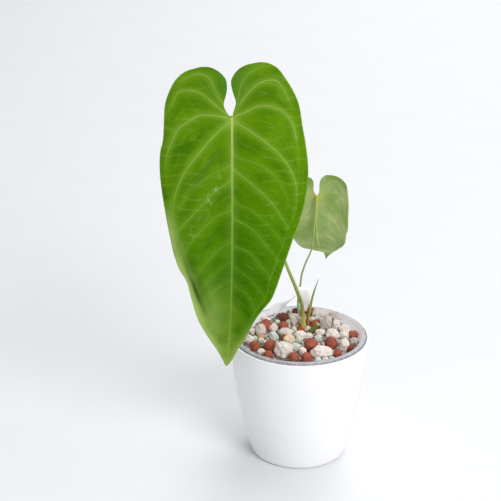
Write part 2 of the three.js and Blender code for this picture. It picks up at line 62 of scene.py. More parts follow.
def smooth_line(points, count):
    """A smooth line through the points, as count points at equal steps."""
    points = np.array(points, float)
    chords = np.linalg.norm(np.diff(points, axis=0), axis=1)
    knots = np.concatenate([[0.0], np.cumsum(np.sqrt(chords))])
    slopes = np.gradient(points, knots, axis=0)
    fine = np.linspace(0, knots[-1], 40 * len(points))
    k = np.clip(np.searchsorted(knots, fine) - 1, 0, len(points) - 2)
    gap = (knots[k + 1] - knots[k])[:, None]
    t = (fine - knots[k])[:, None] / gap
    near = (2 * t**3 - 3 * t**2 + 1) * points[k] + (t**3 - 2 * t**2 + t) * gap * slopes[k]
    far = (3 * t**2 - 2 * t**3) * points[k + 1] + (t**3 - t**2) * gap * slopes[k + 1]
    line = near + far
    run = np.concatenate([[0.0], np.cumsum(np.linalg.norm(np.diff(line, axis=0), axis=1))])
    even = np.linspace(0, run[-1], count)
    return np.stack([np.interp(even, run, line[:, i]) for i in range(line.shape[1])], axis=1)


print("A quarter turn in 5 points:", smooth_line([[1, 0], [0.7, 0.7], [0, 1]], 5).round(2).tolist())

# %% [markdown]
# ## Nodes as sums
#
# Materials and Geometry Nodes trees are both graphs of nodes. Written link by link they are hard to
# read, so a Wire stands for one output, and Python's own operators on it add the Math nodes. A
# Graph makes every other kind of node with one method: its kind, its settings, then its inputs.

# %% A wire that can be added and multiplied
class Wire:
    """One output of a node, as a number in a sum."""

    def __init__(self, graph, socket):
        self.graph = graph
        self.socket = socket

    def __add__(self, other):
        return self.graph.maths("ADD", self, other)

    def __sub__(self, other):
        return self.graph.maths("SUBTRACT", self, other)

    def __rsub__(self, other):
        return self.graph.maths("SUBTRACT", other, self)

    def __mul__(self, other):
        return self.graph.maths("MULTIPLY", self, other)

    def __truediv__(self, other):
        return self.graph.maths("DIVIDE", self, other)

    def __rtruediv__(self, other):
        return self.graph.maths("DIVIDE", other, self)

    __radd__ = __add__
    __rmul__ = __mul__


# %% A graph that makes nodes
class Graph:
    """A node tree that is written as expressions."""

    def __init__(self, tree):
        self.tree = tree

    def node(self, kind, settings=None, inputs=None, output=0):
        """A node of that kind: settings first, then sockets by name, number or identifier."""
        made = self.tree.nodes.new(kind)
        for name, value in (settings or {}).items():
            if name == "stops":
                self.set_stops(made.color_ramp, value)
            else:
                setattr(made, name, value)
        for name, value in (inputs or {}).items():
            target = self.socket(made.inputs, name)
            if isinstance(value, Wire):
                self.tree.links.new(value.socket, target)
            else:
                target.default_value = value
        return Wire(self, self.socket(made.outputs, output))

    @staticmethod
    def socket(sockets, name):
        if isinstance(name, int):
            return [s for s in sockets if s.enabled][name]
        return next((s for s in sockets if s.identifier == name), None) or sockets[name]

    @staticmethod
    def set_stops(ramp, stops):
        while len(ramp.elements) < len(stops):
            ramp.elements.new(1)
        for element, (place, colour) in zip(ramp.elements, stops):
            element.position = place
            element.color = colour

    def maths(self, operation, *values):
        return self.node("ShaderNodeMath", {"operation": operation}, dict(enumerate(values)))

    def vector_maths(self, operation, *values):
        return self.node("ShaderNodeVectorMath", {"operation": operation}, dict(enumerate(values)))

    def scale(self, vector, factor):
        inputs = {"Vector": vector, "Scale": factor}
        return self.node("ShaderNodeVectorMath", {"operation": "SCALE"}, inputs)

    def bell(self, distance, width):
        """1 on the line where distance is 0, falling to nothing a few widths away."""
        scaled = distance / width
        return self.maths("EXPONENT", scaled * scaled * -1)

    def step(self, value, low, high):
        """0 below low, 1 above high, smooth in between; low may be the larger of the two."""
        settings = {"interpolation_type": "SMOOTHSTEP"}
        inputs = {"Value": value, "From Min": low, "From Max": high}
        return self.node("ShaderNodeMapRange", settings, inputs)

    def combine(self, x, y, z=0.0):
        return self.node("ShaderNodeCombineXYZ", None, {"X": x, "Y": y, "Z": z})

    def separate(self, vector, axis):
        return self.node("ShaderNodeSeparateXYZ", None, {"Vector": vector}, axis)


# %% [markdown]
# ## Finishes
#
# A Finish is a Graph with a Principled shader at its end. Its patterns come from noise and cells
# read at the piece's own place in space, or from values stored on its points. Colours are given
# as they look on a screen, from 0 to 255, and the function paint turns them into the linear values
# that a shader needs.

# %% Colours
def paint(red, green, blue):
    """A screen colour as the linear colour that shaders use."""
    linear = []
    for part in (red, green, blue):
        share = part / 255
        linear.append(share / 12.92 if share <= 0.04045 else ((share + 0.055) / 1.055) ** 2.4)
    return (*linear, 1.0)


print("Leaf green in linear values:", [round(x, 3) for x in paint(75, 140, 12)[:3]])


# %% The finish class
class Finish(Graph):
    """A material whose pattern is an expression."""

    def __init__(self, name, **uniform):
        self.material = bpy.data.materials.new(name)
        self.material.use_nodes = True
        super().__init__(self.material.node_tree)
        self.tree.nodes.clear()
        self.shader = self.tree.nodes.new("ShaderNodeBsdfPrincipled")
        out = self.tree.nodes.new("ShaderNodeOutputMaterial")
        self.tree.links.new(self.shader.outputs[0], out.inputs[0])
        for socket, value in uniform.items():
            self.shader.inputs[socket.replace("_", " ")].default_value = value

    def place(self):
        """Where the point of the surface is, in the object's own metres."""
        return self.node("ShaderNodeTexCoord", None, None, "Object")

    def stored(self, name):
        """A value that the mesh carries on its points."""
        return self.node("ShaderNodeAttribute", {"attribute_name": name}, None, "Fac")

    def speckle(self, place, size, detail=3.0, roughness=0.55):
        """Soft noise whose lumps are about size millimetres across."""
        inputs = {"Vector": place, "Scale": 1000 / size, "Detail": detail, "Roughness": roughness}
        return self.node("ShaderNodeTexNoise", None, inputs, "Fac")

    def cells(self, place, size):
        """The distance to the nearest of random points that are about size millimetres apart."""
        inputs = {"Vector": place, "Scale": 1000 / size}
        return self.node("ShaderNodeTexVoronoi", None, inputs, "Distance")

    def stretched(self, place, x=1.0, y=1.0, z=1.0):
        return self.vector_maths("MULTIPLY", place, (x, y, z))

    def mix(self, share, one, other):
        """From colour one to the other."""
        inputs = {"Factor_Float": share, "A_Color": one, "B_Color": other}
        settings = {"data_type": "RGBA"}
        return self.node("ShaderNodeMix", settings, inputs, "Result_Color")

    def ramp(self, value, stops):
        return self.node("ShaderNodeValToRGB", {"stops": stops}, {"Fac": value}, "Color")

    def feed(self, **links):
        """Links patterns to the shader's sockets."""
        for socket, wire in links.items():
            self.tree.links.new(wire.socket, self.shader.inputs[socket.replace("_", " ")])
        print(f"Finish {self.material.name}: {len(self.tree.nodes)} nodes")

    def relief(self, height, depth, under=None):
        """Bumps of that depth in millimetres where height goes from 0 to 1."""
        inputs = {"Height": height, "Distance": depth * MM, "Strength": 1.0}
        if under is not None:
            inputs["Normal"] = under
        return self.node("ShaderNodeBump", None, inputs)


# %% [markdown]
# ## Meshes and recipes
#
# Three helpers build every piece. mesh_piece makes a mesh from points in millimetres, with any
# values that its points carry. Recipe is a Geometry Nodes tree with named inputs. grow runs a
# recipe on a source mesh and keeps the result as a plain mesh, so that no modifier is left on it.

# %% Mesh helpers
def mesh_piece(name, points, faces, stored=None, edges=()):
    """An object at the origin, with its points in millimetres and its values stored on them."""
    mesh = bpy.data.meshes.new(name)
    mesh.from_pydata((np.asarray(points, float) * MM).tolist(), list(edges), faces)
    for key, values in (stored or {}).items():
        values = np.asarray(values, float)
        kind = "FLOAT_VECTOR" if values.ndim == 2 else "FLOAT"
        attribute = mesh.attributes.new(key, kind, "POINT")
        attribute.data.foreach_set("vector" if values.ndim == 2 else "value", values.ravel())
    piece = bpy.data.objects.new(name, mesh)
    bpy.context.scene.collection.objects.link(piece)
    return piece


def smoothed(piece):
    """The piece with soft shading on all its faces."""
    piece.data.polygons.foreach_set("use_smooth", [True] * len(piece.data.polygons))
    return piece


def line_piece(name, points):
    """A chain of edges through the points, for a recipe to turn into a solid."""
    edges = [(i, i + 1) for i in range(len(points) - 1)]
    return mesh_piece(name, points, [], edges=edges)


def closed_sheet(faces, count):
    """Front faces over count points, the same faces on a second skin behind, and a rim strip."""
    rim = {}
    for face in faces:
        for start, end in zip(face, face[1:] + face[:1]):
            if rim.pop((end, start), None) is None:
                rim[(start, end)] = True
    back = [[v + count for v in reversed(face)] for face in faces]
    strip = [[end, start, start + count, end + count] for start, end in rim]
    return faces + back + strip


def grid_faces(rows, columns):
    """The squares of a grid of points, as lists of their corners."""
    corner = (np.arange(rows - 1)[:, None] * columns + np.arange(columns - 1)).ravel()
    return np.stack([corner, corner + 1, corner + columns + 1, corner + columns], axis=1)


print("A grid of 3 by 4 points has", len(grid_faces(3, 4)), "squares")


# %% Recipes in Geometry Nodes
class Recipe(Graph):
    """A Geometry Nodes tree with named inputs."""

    kinds = {"number": "NodeSocketFloat", "count": "NodeSocketInt", "length": "NodeSocketFloat",
             "finish": "NodeSocketMaterial"}

    def __init__(self, name, **inputs):
        tree = bpy.data.node_groups.new(name, "GeometryNodeTree")
        super().__init__(tree)
        add = tree.interface.new_socket
        add("Geometry", in_out="INPUT", socket_type="NodeSocketGeometry")
        for title, kind in inputs.items():
            title = title.replace("_", " ")
            socket = add(title, in_out="INPUT", socket_type=self.kinds[kind])
            if kind == "length":
                socket.subtype = "DISTANCE"
        add("Geometry", in_out="OUTPUT", socket_type="NodeSocketGeometry")
        self.entry = tree.nodes.new("NodeGroupInput")
        self.exit = tree.nodes.new("NodeGroupOutput")

    def given(self, title):
        return Wire(self, self.entry.outputs[title])

    def stored(self, name, kind="FLOAT"):
        settings = {"data_type": kind}
        return self.node("GeometryNodeInputNamedAttribute", settings, {"Name": name})

    def store(self, geometry, name, value, kind="FLOAT"):
        settings = {"data_type": kind, "domain": "POINT"}
        inputs = {"Geometry": geometry, "Name": name, "Value": value}
        return self.node("GeometryNodeStoreNamedAttribute", settings, inputs)

    def done(self, geometry):
        """Real faces with the finish on them, which is what the export can read."""
        real = self.node("GeometryNodeRealizeInstances", None, {"Geometry": geometry})
        inputs = {"Geometry": real, "Material": self.given("Finish")}
        dressed = self.node("GeometryNodeSetMaterial", None, inputs)
        self.tree.links.new(dressed.socket, self.exit.inputs[0])
        print(f"Recipe {self.tree.name}: {len(self.tree.nodes)} nodes")


def grow(name, source, recipe, smooth=True, **values):
    """Runs the recipe on the source, and swaps the source for the result as a plain mesh."""
    modifier = source.modifiers.new("grow", "NODES")
    modifier.node_group = recipe.tree
    for socket in recipe.tree.interface.items_tree:
        if socket.in_out == "INPUT" and socket.name in values:
            modifier[socket.identifier] = values[socket.name]
    evaluated = source.evaluated_get(bpy.context.evaluated_depsgraph_get())
    mesh = bpy.data.meshes.new_from_object(evaluated)
    bpy.data.objects.remove(source)
    mesh.name = name
    mesh.polygons.foreach_set("use_smooth", [smooth] * len(mesh.polygons))
    piece = bpy.data.objects.new(name, mesh)
    bpy.context.scene.collection.objects.link(piece)
    return piece


def keep(piece, slot, *replaced):
    """The piece rides on the plant's one body, and stands for the CAD nodes it replaces."""
    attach(piece, "root")
    if replaced:
        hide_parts(*replaced)
    size = [round(side / MM, 1) for side in piece.dimensions]
    print(f"{piece.name}: {len(piece.data.polygons)} faces, {size} mm, for {list(replaced)}")


# %% [markdown]
# ## The pots
#
# A cover pot and the clear grow pot inside it are both turned shapes: a profile carried once round
# the axis. Blender's Screw modifier could do it too. A recipe is chosen because one serves every
# turned wall, with its finish and its number of sides as inputs. Ring number and place round the
# axis come from a flat grid, whose points are then sent to their places on the wall.

# %% The recipe for a turned wall
def turned_recipe():
    """A profile of points at x = radius and z = height, carried round the axis."""
    recipe = Recipe("turned wall", Sides="count", Finish="finish")
    profile = recipe.given("Geometry")
    rings = recipe.node("GeometryNodeAttributeDomainSize", {"component": "MESH"},
                        {"Geometry": profile}, "Point Count")
    grid = recipe.node("GeometryNodeMeshGrid", None,
                       {"Size X": 1.0, "Size Y": 1.0, "Vertices X": recipe.given("Sides") + 1,
                        "Vertices Y": rings}, "Mesh")
    flat = recipe.node("GeometryNodeInputPosition")
    turn = (recipe.separate(flat, "X") + 0.5) * (2 * np.pi)
    ring = recipe.maths("ROUND", (recipe.separate(flat, "Y") + 0.5) * (rings - 1))
    point = recipe.node("GeometryNodeSampleIndex", {"data_type": "FLOAT_VECTOR"},
                        {"Geometry": profile, "Value": flat, "Index": ring})
    radius = recipe.separate(point, "X")
    place = recipe.combine(radius * recipe.maths("COSINE", turn),
                           radius * recipe.maths("SINE", turn), recipe.separate(point, "Z"))
    wall = recipe.node("GeometryNodeSetPosition", None, {"Geometry": grid, "Position": place})
    merged = recipe.node("GeometryNodeMergeByDistance", None, {"Geometry": wall, "Distance": 1e-6})
    recipe.done(merged)
    return recipe


# %% [markdown]
# The profiles are drawn in millimetres. A helper rounds each corner by its own radius, because
# neither a glazed rim nor a moulded flange has a sharp edge. The cover pot's side follows one rule:
# from the foot to the rim its radius grows fast at first, then hardly at all.

# %% Profiles
POT_HEIGHT, RIM_RADIUS, FOOT_RADIUS, BULGE = 127.5, 70, 48.9, 1.7


def rounded(corners, steps=6):
    """Corners of (radius, height, rounding) joined up, with every rounding drawn as a curve."""
    points = []
    for i, (radius, height, rounding) in enumerate(corners):
        here = np.array([radius, height], float)
        if rounding == 0:
            points.append(here)
            continue
        sides = [np.array(corners[j][:2], float) - here for j in (i - 1, i + 1)]
        before, after = [side / np.linalg.norm(side) for side in sides]
        half = np.arccos(np.clip(before @ after, -1, 1)) / 2
        reach = min(rounding / np.tan(half), *(0.48 * np.linalg.norm(side) for side in sides))
        start, end = here + before * reach, here + after * reach
        for t in np.linspace(0, 1, steps):
            points.append((1 - t) ** 2 * start + 2 * t * (1 - t) * here + t**2 * end)
    return [(radius, 0.0, height) for radius, height in points]


def pot_radius(height):
    """The cover pot's outer radius at a height."""
    return RIM_RADIUS - (RIM_RADIUS - FOOT_RADIUS) * (1 - height / POT_HEIGHT) ** BULGE


side = [(pot_radius(z), z, 0) for z in np.linspace(5, POT_HEIGHT - 2, 36)]
inner = [(pot_radius(z) - 4.5, z, 0) for z in np.linspace(98, 13, 16)]
cover_corners = [(0, 0, 0), (pot_radius(0), 0, 4), *side, (RIM_RADIUS, POT_HEIGHT, 1.1),
                 (RIM_RADIUS - 2.2, POT_HEIGHT, 1), (RIM_RADIUS - 2.7, 118, 4), *inner,
                 (pot_radius(8) - 4.5, 8, 5), (0, 8, 0)]

LINER_TOP, LINER_FLOOR, MOUTH, FLANGE = 129.3, 8.3, 63, 66.7
liner_corners = [(0, LINER_FLOOR, 0), (42.3, LINER_FLOOR, 1.5), (MOUTH + 0.9, LINER_TOP - 2.6, 0.6),
                 (FLANGE - 1, LINER_TOP - 2.6, 0.5), (FLANGE - 1, LINER_TOP - 4.7, 0.2),
                 (FLANGE, LINER_TOP - 4.7, 0.3), (FLANGE, LINER_TOP - 0.6, 0.7),
                 (MOUTH + 1.4, LINER_TOP, 0.8), (MOUTH, LINER_TOP, 0.6), (42.1, LINER_FLOOR + 2, 2),
                 (40, LINER_FLOOR + 1, 1), (0, LINER_FLOOR + 1, 0)]
print(f"Cover pot profile: {len(rounded(cover_corners))} points")
print(f"Grow pot profile: {len(rounded(liner_corners))} points")

# %% [markdown]
# The ceramic is white with a satin glaze: its sheen varies a little, and the skin has the faint
# orange-peel waves of a dipped glaze. The grow pot is clear plastic that years of watering have
# made milky, with streaks that run down it; its grey is partly painted shade, for the dark filling
# seen through it. Light passes through its thin wall, which a mostly opaque shader can't show, so
# the inner wall behind the plant is painted paler and given a weak glow, as painted light.

# %% Ceramic and clear plastic
def ceramic_finish():
    finish = Finish("white_ceramic", IOR=1.5)
    place = finish.place()
    cloud = finish.speckle(place, 34, detail=2)
    pinholes = finish.step(finish.cells(place, 7), 0.035, 0.02)
    body = finish.mix(cloud, paint(243, 243, 244), paint(249, 249, 249))
    # The pinholes are painted darker, as the shade inside them.
    finish.feed(Base_Color=finish.mix(pinholes * 0.35, body, paint(214, 212, 208)),
                Roughness=0.34 + 0.14 * cloud,
                Normal=finish.relief(finish.speckle(place, 5, detail=1.5), 0.05))
    return finish.material


def clear_finish():
    finish = Finish("milky_plastic", IOR=1.45, Transmission_Weight=0.2, Emission_Strength=0.3)
    place = finish.place()
    x, y = finish.separate(place, "X"), finish.separate(place, "Y")
    radius = finish.maths("SQRT", x * x + y * y)
    inside = finish.step(radius, (MOUTH + 0.8) * MM, MOUTH * MM)
    behind = finish.step(y + x * 0.5, -0.03, 0.03) * inside
    streaks = finish.speckle(finish.stretched(place, z=0.12), 2.4, detail=4)
    smears = finish.speckle(place, 13, detail=3, roughness=0.65)
    # The grey is partly the milky plastic and partly painted shade, for the dark filling seen through the
    # wall.
    body = finish.mix(finish.step(streaks, 0.28, 0.78), paint(166, 163, 172), paint(208, 205, 209))
    smeared_and_lit = finish.mix(finish.step(smears, 0.45, 0.75) * 0.5, body, paint(232, 231, 236))
    # Painted light: the inner wall behind the plant is painted paler and given a glow, for light that
    # comes through the plastic.
    smeared_and_lit = finish.mix(behind * 0.7, smeared_and_lit, paint(240, 238, 241))
    glow = finish.mix(behind, paint(0, 0, 0), paint(220, 218, 222))
    finish.feed(Base_Color=smeared_and_lit, Emission_Color=glow, Roughness=0.22 + 0.3 * smears,
                Normal=finish.relief(streaks, 0.06))
    return finish.material


# %% Turn the cover pot
turned = turned_recipe()
profile = line_piece("cover_profile", rounded(cover_corners))
cover = grow("ceramic_cover", profile, turned, Sides=200, Finish=ceramic_finish())
keep(cover, "ceramic", "cover_pot")


# %% Turn the grow pot and drill it
def drained_recipe():
    """A pot with a ring of round drain holes cut through its floor."""
    recipe = Recipe("drained pot", Drains="count", Ring="length", Radius="length", Finish="finish")
    ring = recipe.node("GeometryNodeMeshCircle", None,
                       {"Vertices": recipe.given("Drains"), "Radius": recipe.given("Ring")})
    drill = recipe.node("GeometryNodeMeshCylinder", None,
                        {"Vertices": 24, "Radius": recipe.given("Radius"), "Depth": 0.03}, "Mesh")
    drills = recipe.node("GeometryNodeInstanceOnPoints", None, {"Points": ring, "Instance": drill})
    real = recipe.node("GeometryNodeRealizeInstances", None, {"Geometry": drills})
    settings = {"operation": "DIFFERENCE", "solver": "EXACT"}
    inputs = {"Mesh 1": recipe.given("Geometry"), "Mesh 2": real}
    recipe.done(recipe.node("GeometryNodeMeshBoolean", settings, inputs, "Mesh"))
    return recipe


clear = clear_finish()
profile = line_piece("liner_profile", rounded(liner_corners))
wall = grow("liner_wall", profile, turned, Sides=160, Finish=clear)
liner = grow("clear_grow_pot", wall, drained_recipe(), Drains=6, Ring=27 * MM, Radius=4 * MM,
             Finish=clear)
keep(liner, "clear_plastic", "grow_pot")

# %% [markdown]
# ## The stones
#
# The filling is a bed of pumice, with pale green zeolite, a few tan chips and brick-red balls of
# fired clay on top. The large ones keep the places that the CAD gives them. Sculpting some sixty
# stones by hand would be slow, so one recipe makes them all: a ball on each point, scaled to that
# stone's size, then pushed in and out by noise and cut by flat facets that are different for each
# stone, with grain and pits of a real size on top. A facet is the plane square to the nearest of
# some random points, so the ball is flat round that point.

# %% The recipe for stones
FACET_DEPTH, FACET_REACH = 0.92, 0.77


def facets(recipe, unit):
    """How far each point of a unit ball moves to lie on its stone's nearest flat facet."""
    apart = recipe.scale((5.7, 3.1, 9.2), recipe.stored("seed"))
    inputs = {"Vector": recipe.vector_maths("ADD", unit, apart), "Scale": recipe.given("Facets")}
    corner = recipe.node("ShaderNodeTexVoronoi", None, inputs, "Position")
    facing = recipe.vector_maths("NORMALIZE", recipe.vector_maths("SUBTRACT", corner, apart))
    slope = recipe.node("ShaderNodeVectorMath", {"operation": "DOT_PRODUCT"},
                        {0: unit, 1: facing}, "Value")
    return FACET_DEPTH / recipe.maths("MAXIMUM", slope, FACET_REACH) - 1


def stone_skin(recipe, where):
    """Fine grain and round pits, as a length in or out."""
    grain = recipe.node("ShaderNodeTexNoise", None,
                        {"Vector": where, "Scale": 900.0, "Detail": 3.0, "Roughness": 0.6})
    cell = recipe.node("ShaderNodeTexVoronoi", None,
                       {"Vector": where, "Scale": 1 / recipe.given("Pore")}, "Distance")
    pits = recipe.given("Pit") * recipe.step(cell, 0.5, 0.1)
    return recipe.given("Grain") * (grain - 0.5) * 2 - pits


def stone_recipe():
    """A rough stone on each point. Points carry size, a vector of half widths, seed and rough."""
    recipe = Recipe("stones", Detail="count", Unevenness="number", Lobes="number",
                    Flatness="number", Facets="number", Grain="length", Pit="length",
                    Pore="length", Finish="finish")
    where = recipe.node("GeometryNodeInputPosition")
    points = recipe.store(recipe.given("Geometry"), "centre", where, kind="FLOAT_VECTOR")
    ball = recipe.node("GeometryNodeMeshIcoSphere", None,
                       {"Radius": 1.0, "Subdivisions": recipe.given("Detail")}, "Mesh")
    size = recipe.stored("size", "FLOAT_VECTOR")
    placed = recipe.node("GeometryNodeInstanceOnPoints", None,
                         {"Points": points, "Instance": ball, "Scale": size})
    real = recipe.node("GeometryNodeRealizeInstances", None, {"Geometry": placed})
    arm = recipe.vector_maths("SUBTRACT", where, recipe.stored("centre", "FLOAT_VECTOR"))
    unit = recipe.vector_maths("DIVIDE", arm, size)
    lobes = recipe.node("ShaderNodeTexNoise", {"noise_dimensions": "4D"},
                        {"Vector": unit, "W": recipe.stored("seed") * 3.7,
                         "Scale": recipe.given("Lobes"), "Detail": 1.5})
    uneven = recipe.given("Unevenness") * (lobes - 0.5) * 2
    uneven = uneven + recipe.given("Flatness") * facets(recipe, unit)
    swell = recipe.stored("rough") * uneven
    out = recipe.scale(recipe.vector_maths("NORMALIZE", arm), stone_skin(recipe, where))
    moved = recipe.vector_maths("ADD", recipe.scale(arm, swell), out)
    recipe.done(recipe.node("GeometryNodeSetPosition", None, {"Geometry": real, "Offset": moved}))
    return recipe


stones = stone_recipe()

# %% [markdown]
# Each kind of stone has its own skin. Pumice is off-white, some lumps are greyer, and all are dotted
# with open pores. Zeolite is a chalky green, and some chips are tan or cream. Fired clay is brick
# red, darker on some balls, full of small pores and dusted with pale mineral from the water.

# %% Pumice, zeolite and clay
def pumice_finish():
    finish = Finish("pumice", Specular_IOR_Level=0.25)
    place = finish.place()
    clouds = finish.speckle(place, 6, detail=4)
    grey = finish.stored("tint")
    pores = finish.step(finish.cells(place, 2.3), 0.3, 0.16)
    pale = finish.mix(clouds, paint(248, 238, 232), paint(234, 222, 215))
    dull = finish.mix(clouds, paint(206, 196, 189), paint(172, 162, 156))
    body = finish.mix(grey, pale, dull)
    # The pores are painted darker, as the shade inside them.
    finish.feed(Base_Color=finish.mix(pores * 0.5, body, paint(136, 120, 110)),
                Roughness=0.85 + 0.12 * clouds,
                Normal=finish.relief(finish.speckle(place, 0.8) - pores * 0.7, 0.25))
    return finish.material


def chip_finish():
    finish = Finish("zeolite", Specular_IOR_Level=0.3)
    place = finish.place()
    clouds = finish.speckle(place, 3, detail=4)
    stops = [(0, paint(200, 218, 206)), (0.3, paint(222, 228, 216)), (0.45, paint(214, 220, 206)),
             (0.6, paint(238, 218, 190)), (0.8, paint(220, 160, 104)), (1, paint(238, 228, 218))]
    body = finish.ramp(finish.stored("tint"), stops)
    finish.feed(Base_Color=finish.mix(finish.step(clouds, 0.4, 0.8) * 0.5, body, paint(224, 222, 214)),
                Roughness=0.8 + 0.15 * clouds,
                Normal=finish.relief(finish.speckle(place, 0.6), 0.15))
    return finish.material


def clay_finish():
    finish = Finish("fired_clay", Specular_IOR_Level=0.3)
    place = finish.place()
    clouds = finish.speckle(place, 5, detail=4)
    pores = finish.step(finish.cells(place, 2.2), 0.3, 0.14)
    dust = finish.step(finish.speckle(place, 1.1, detail=3), 0.6, 0.75)
    body = finish.mix(clouds, paint(190, 106, 82), paint(150, 76, 57))
    body = finish.mix(finish.stored("tint"), body, paint(92, 44, 36))
    dusty = finish.mix(dust * 0.35, body, paint(206, 152, 130))
    # The pores are painted darker, as the shade inside them.
    finish.feed(Base_Color=finish.mix(pores * 0.75, dusty, paint(70, 28, 22)),
                Roughness=0.78 + 0.18 * clouds,
                Normal=finish.relief(finish.speckle(place, 1.2) - pores, 0.5))
    return finish.material


# %% [markdown]
# The stones lie where the CAD has them. A clay ball's size and its place on the bed are read from
# the frame, and the lumps of pumice and the chips repeat the CAD's short lists. The bed is level in
# front and rises a little behind, and a stone's centre stands above it by a share of its height.

# %% Where the stones lie
BED_TOP, BED_RISE, HEAP_START, STAND = 118.6, 0.3, 26, 0.28

# x, y, width, height, greyness
PUMICE = [
    (-17, -27, 19, 18, 0.1), (21.3, -27.8, 21.4, 12, 0), (-13.7, 19.5, 15.2, 9, 0.15),
    (0.6, 11.3, 12.2, 10.2, 0), (9.4, 11, 7.4, 7, 0), (-39.8, 22.6, 12, 12, 0.5),
    (-26.4, 27.8, 9.6, 9, 0.3), (-51.2, 1.1, 8.8, 10.2, 0.1), (-39.3, -24.1, 8.2, 6.8, 0.2),
    (2.2, -25.5, 7.8, 9.2, 0), (21.7, 19.2, 10.4, 7.6, 0), (28.2, 31.8, 13.4, 17.6, 0.8),
    (38.8, 29.8, 8.4, 12.4, 0.2), (34.2, 13.2, 13.8, 10.6, 0), (47, 25.4, 12, 10, 0.2),
    (44, -15.3, 10, 15.2, 0.1), (37, 43.5, 13.2, 9.6, 1), (20.8, 49, 13.4, 9, 0.4),
    (14.1, 41.3, 7.4, 6.2, 0.2), (-4.6, 39.6, 10, 13.2, 0.3), (54.6, -2.9, 10, 9.2, 1),
    (24.2, -40.4, 7.2, 5, 0.1), (9.4, 26.6, 7.2, 6.4, 0), (-34.2, 42.2, 10.4, 5.6, 0.3),
    (-48.1, 22.3, 6.2, 7.2, 0.2), (46.4, 12.4, 12.2, 8.8, 0.1), (-26.6, 17.4, 7.2, 5, 0.2),
]
# x, y, size, tint along the ramp of the chips' finish
CHIPS = [
    (-25.8, 8.9, 8.2, 0.1), (-39, 1.7, 5.6, 0.2), (-45.4, 7.2, 4.8, 0), (-3.8, -15.8, 9.8, 0.25),
    (-0.9, 1.6, 7.4, 0.4), (19.3, 6.7, 7.2, 0.3), (-22.1, 38.2, 5.2, 0.2), (-10.5, 38.6, 5.6, 0.1),
    (20.3, 41.7, 6.8, 0.1), (40.6, 38.9, 5.2, 0.2), (16.6, -43.5, 6.6, 0.15),
    (30.6, -37.9, 5.2, 0.1), (-4.7, 26.5, 5.2, 0.3), (-39.9, 12.8, 5.8, 0.8),
    (-10.5, 1.4, 11.2, 0.62),
]


def bed_level(y):
    """The level that the stones at y are sunk into."""
    return BED_TOP + BED_RISE * max(0, y - HEAP_START)


print(f"The bed's top is at {bed_level(0)} mm in front, {bed_level(50):.1f} mm far behind")


# %% Point clouds for the recipe
def stone_points(name, rows):
    """Points that carry a stone's half widths in metres, a seed, a tint and how rough it is."""
    places = [(x, y, bed_level(y) + STAND * high) for x, y, wide, deep, high, tint, rough in rows]
    sizes = [(wide / 2 * MM, deep / 2 * MM, high / 2 * MM) for x, y, wide, deep, high, *_ in rows]
    stored = {"size": sizes, "seed": range(len(rows)), "tint": [row[5] for row in rows],
              "rough": [row[6] for row in rows]}
    return mesh_piece(name, places, [], stored)


lumps = [(x, y, wide, (wide + high) / 2, high, grey, 1) for x, y, wide, high, grey in PUMICE]
chips = [(x, y, size, size * 0.9, size * 0.92, tint, 1) for x, y, size, tint in CHIPS]
ball_nodes = sorted(name for name in nodes if name.startswith("clay_ball"))
BROKEN = {"clay_ball_06": 1.8, "clay_ball_10": 1.8, "clay_ball_11": 1.4, "clay_ball_04": 1.3}
DARK = {"clay_ball_13": 0.7, "clay_ball_09": 0.5, "clay_ball_15": 0.6, "clay_ball_07": 0.2}
balls = []
for node in ball_nodes:
    low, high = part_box(node)
    middle, width = (low + high) / 2 / MM, (high - low) / MM
    balls.append((middle.x, middle.y, width.x, width.y, width.z, DARK.get(node, 0),
                  BROKEN.get(node, 0.8)))
print(f"{len(lumps)} lumps, {len(chips)} chips, {len(balls)} clay balls")

# %% Pumice, chips and balls
pumice = grow("pumice_lumps", stone_points("lump_points", lumps), stones, Detail=5,
              Unevenness=0.2, Lobes=1.5, Flatness=1, Facets=1.2, Grain=0.5 * MM,
              Pit=0.45 * MM, Pore=2.1 * MM, Finish=pumice_finish())
keep(pumice, "pumice")
zeolite = grow("zeolite_chips", stone_points("chip_points", chips), stones, smooth=False,
               Detail=4, Unevenness=0.3, Lobes=1.1, Flatness=1, Facets=0.9, Grain=0.25 * MM,
               Pit=0.0, Pore=2 * MM, Finish=chip_finish())
keep(zeolite, "pumice")
clay = grow("fired_clay_balls", stone_points("ball_points", balls), stones, Detail=5,
            Unevenness=0.12, Lobes=1.3, Flatness=0.5, Facets=1.1, Grain=0.3 * MM,
            Pit=0.25 * MM, Pore=1.6 * MM, Finish=clay_finish())
keep(clay, "clay", *ball_nodes)

# %% [markdown]
# Below and between the large stones lies finer grit. Its points are scattered over the top of the
# filling by a seeded Distribute Points node, and each grain is a ball of only twenty faces that
# noise breaks into a sharp chip. The filling itself is one more turned wall, heaped up behind.

# %% The filling
WALL_FOOT, WALL_LOW, FILL_FOOT, FILL_FLOOR, FILL_SUNK = 42.2, 10, 41.6, 9.7, 1.4


def filling():
    """The heap under the stones: it fills the grow pot and its top is raised behind."""
    edge = FILL_FOOT + (MOUTH - WALL_FOOT) * (BED_TOP - WALL_LOW) / (LINER_TOP - 1 - WALL_LOW)
    corners = [(0, FILL_FLOOR, 0), (40, FILL_FLOOR, 1), (41.2, 12, 1), (edge, BED_TOP - 2, 1)]
    corners += [(r, BED_TOP - FILL_SUNK, 0) for r in np.linspace(edge - 2, 0, 18)]
    body = grow("filling", line_piece("fill_profile", rounded(corners)), turned, Sides=96,
                Finish=pumice_finish())
    for vertex in body.data.vertices:
        if vertex.co.z > (BED_TOP - FILL_SUNK - 0.2) * MM:
            vertex.co.z += (bed_level(vertex.co.y / MM) - BED_TOP) * MM
    return body


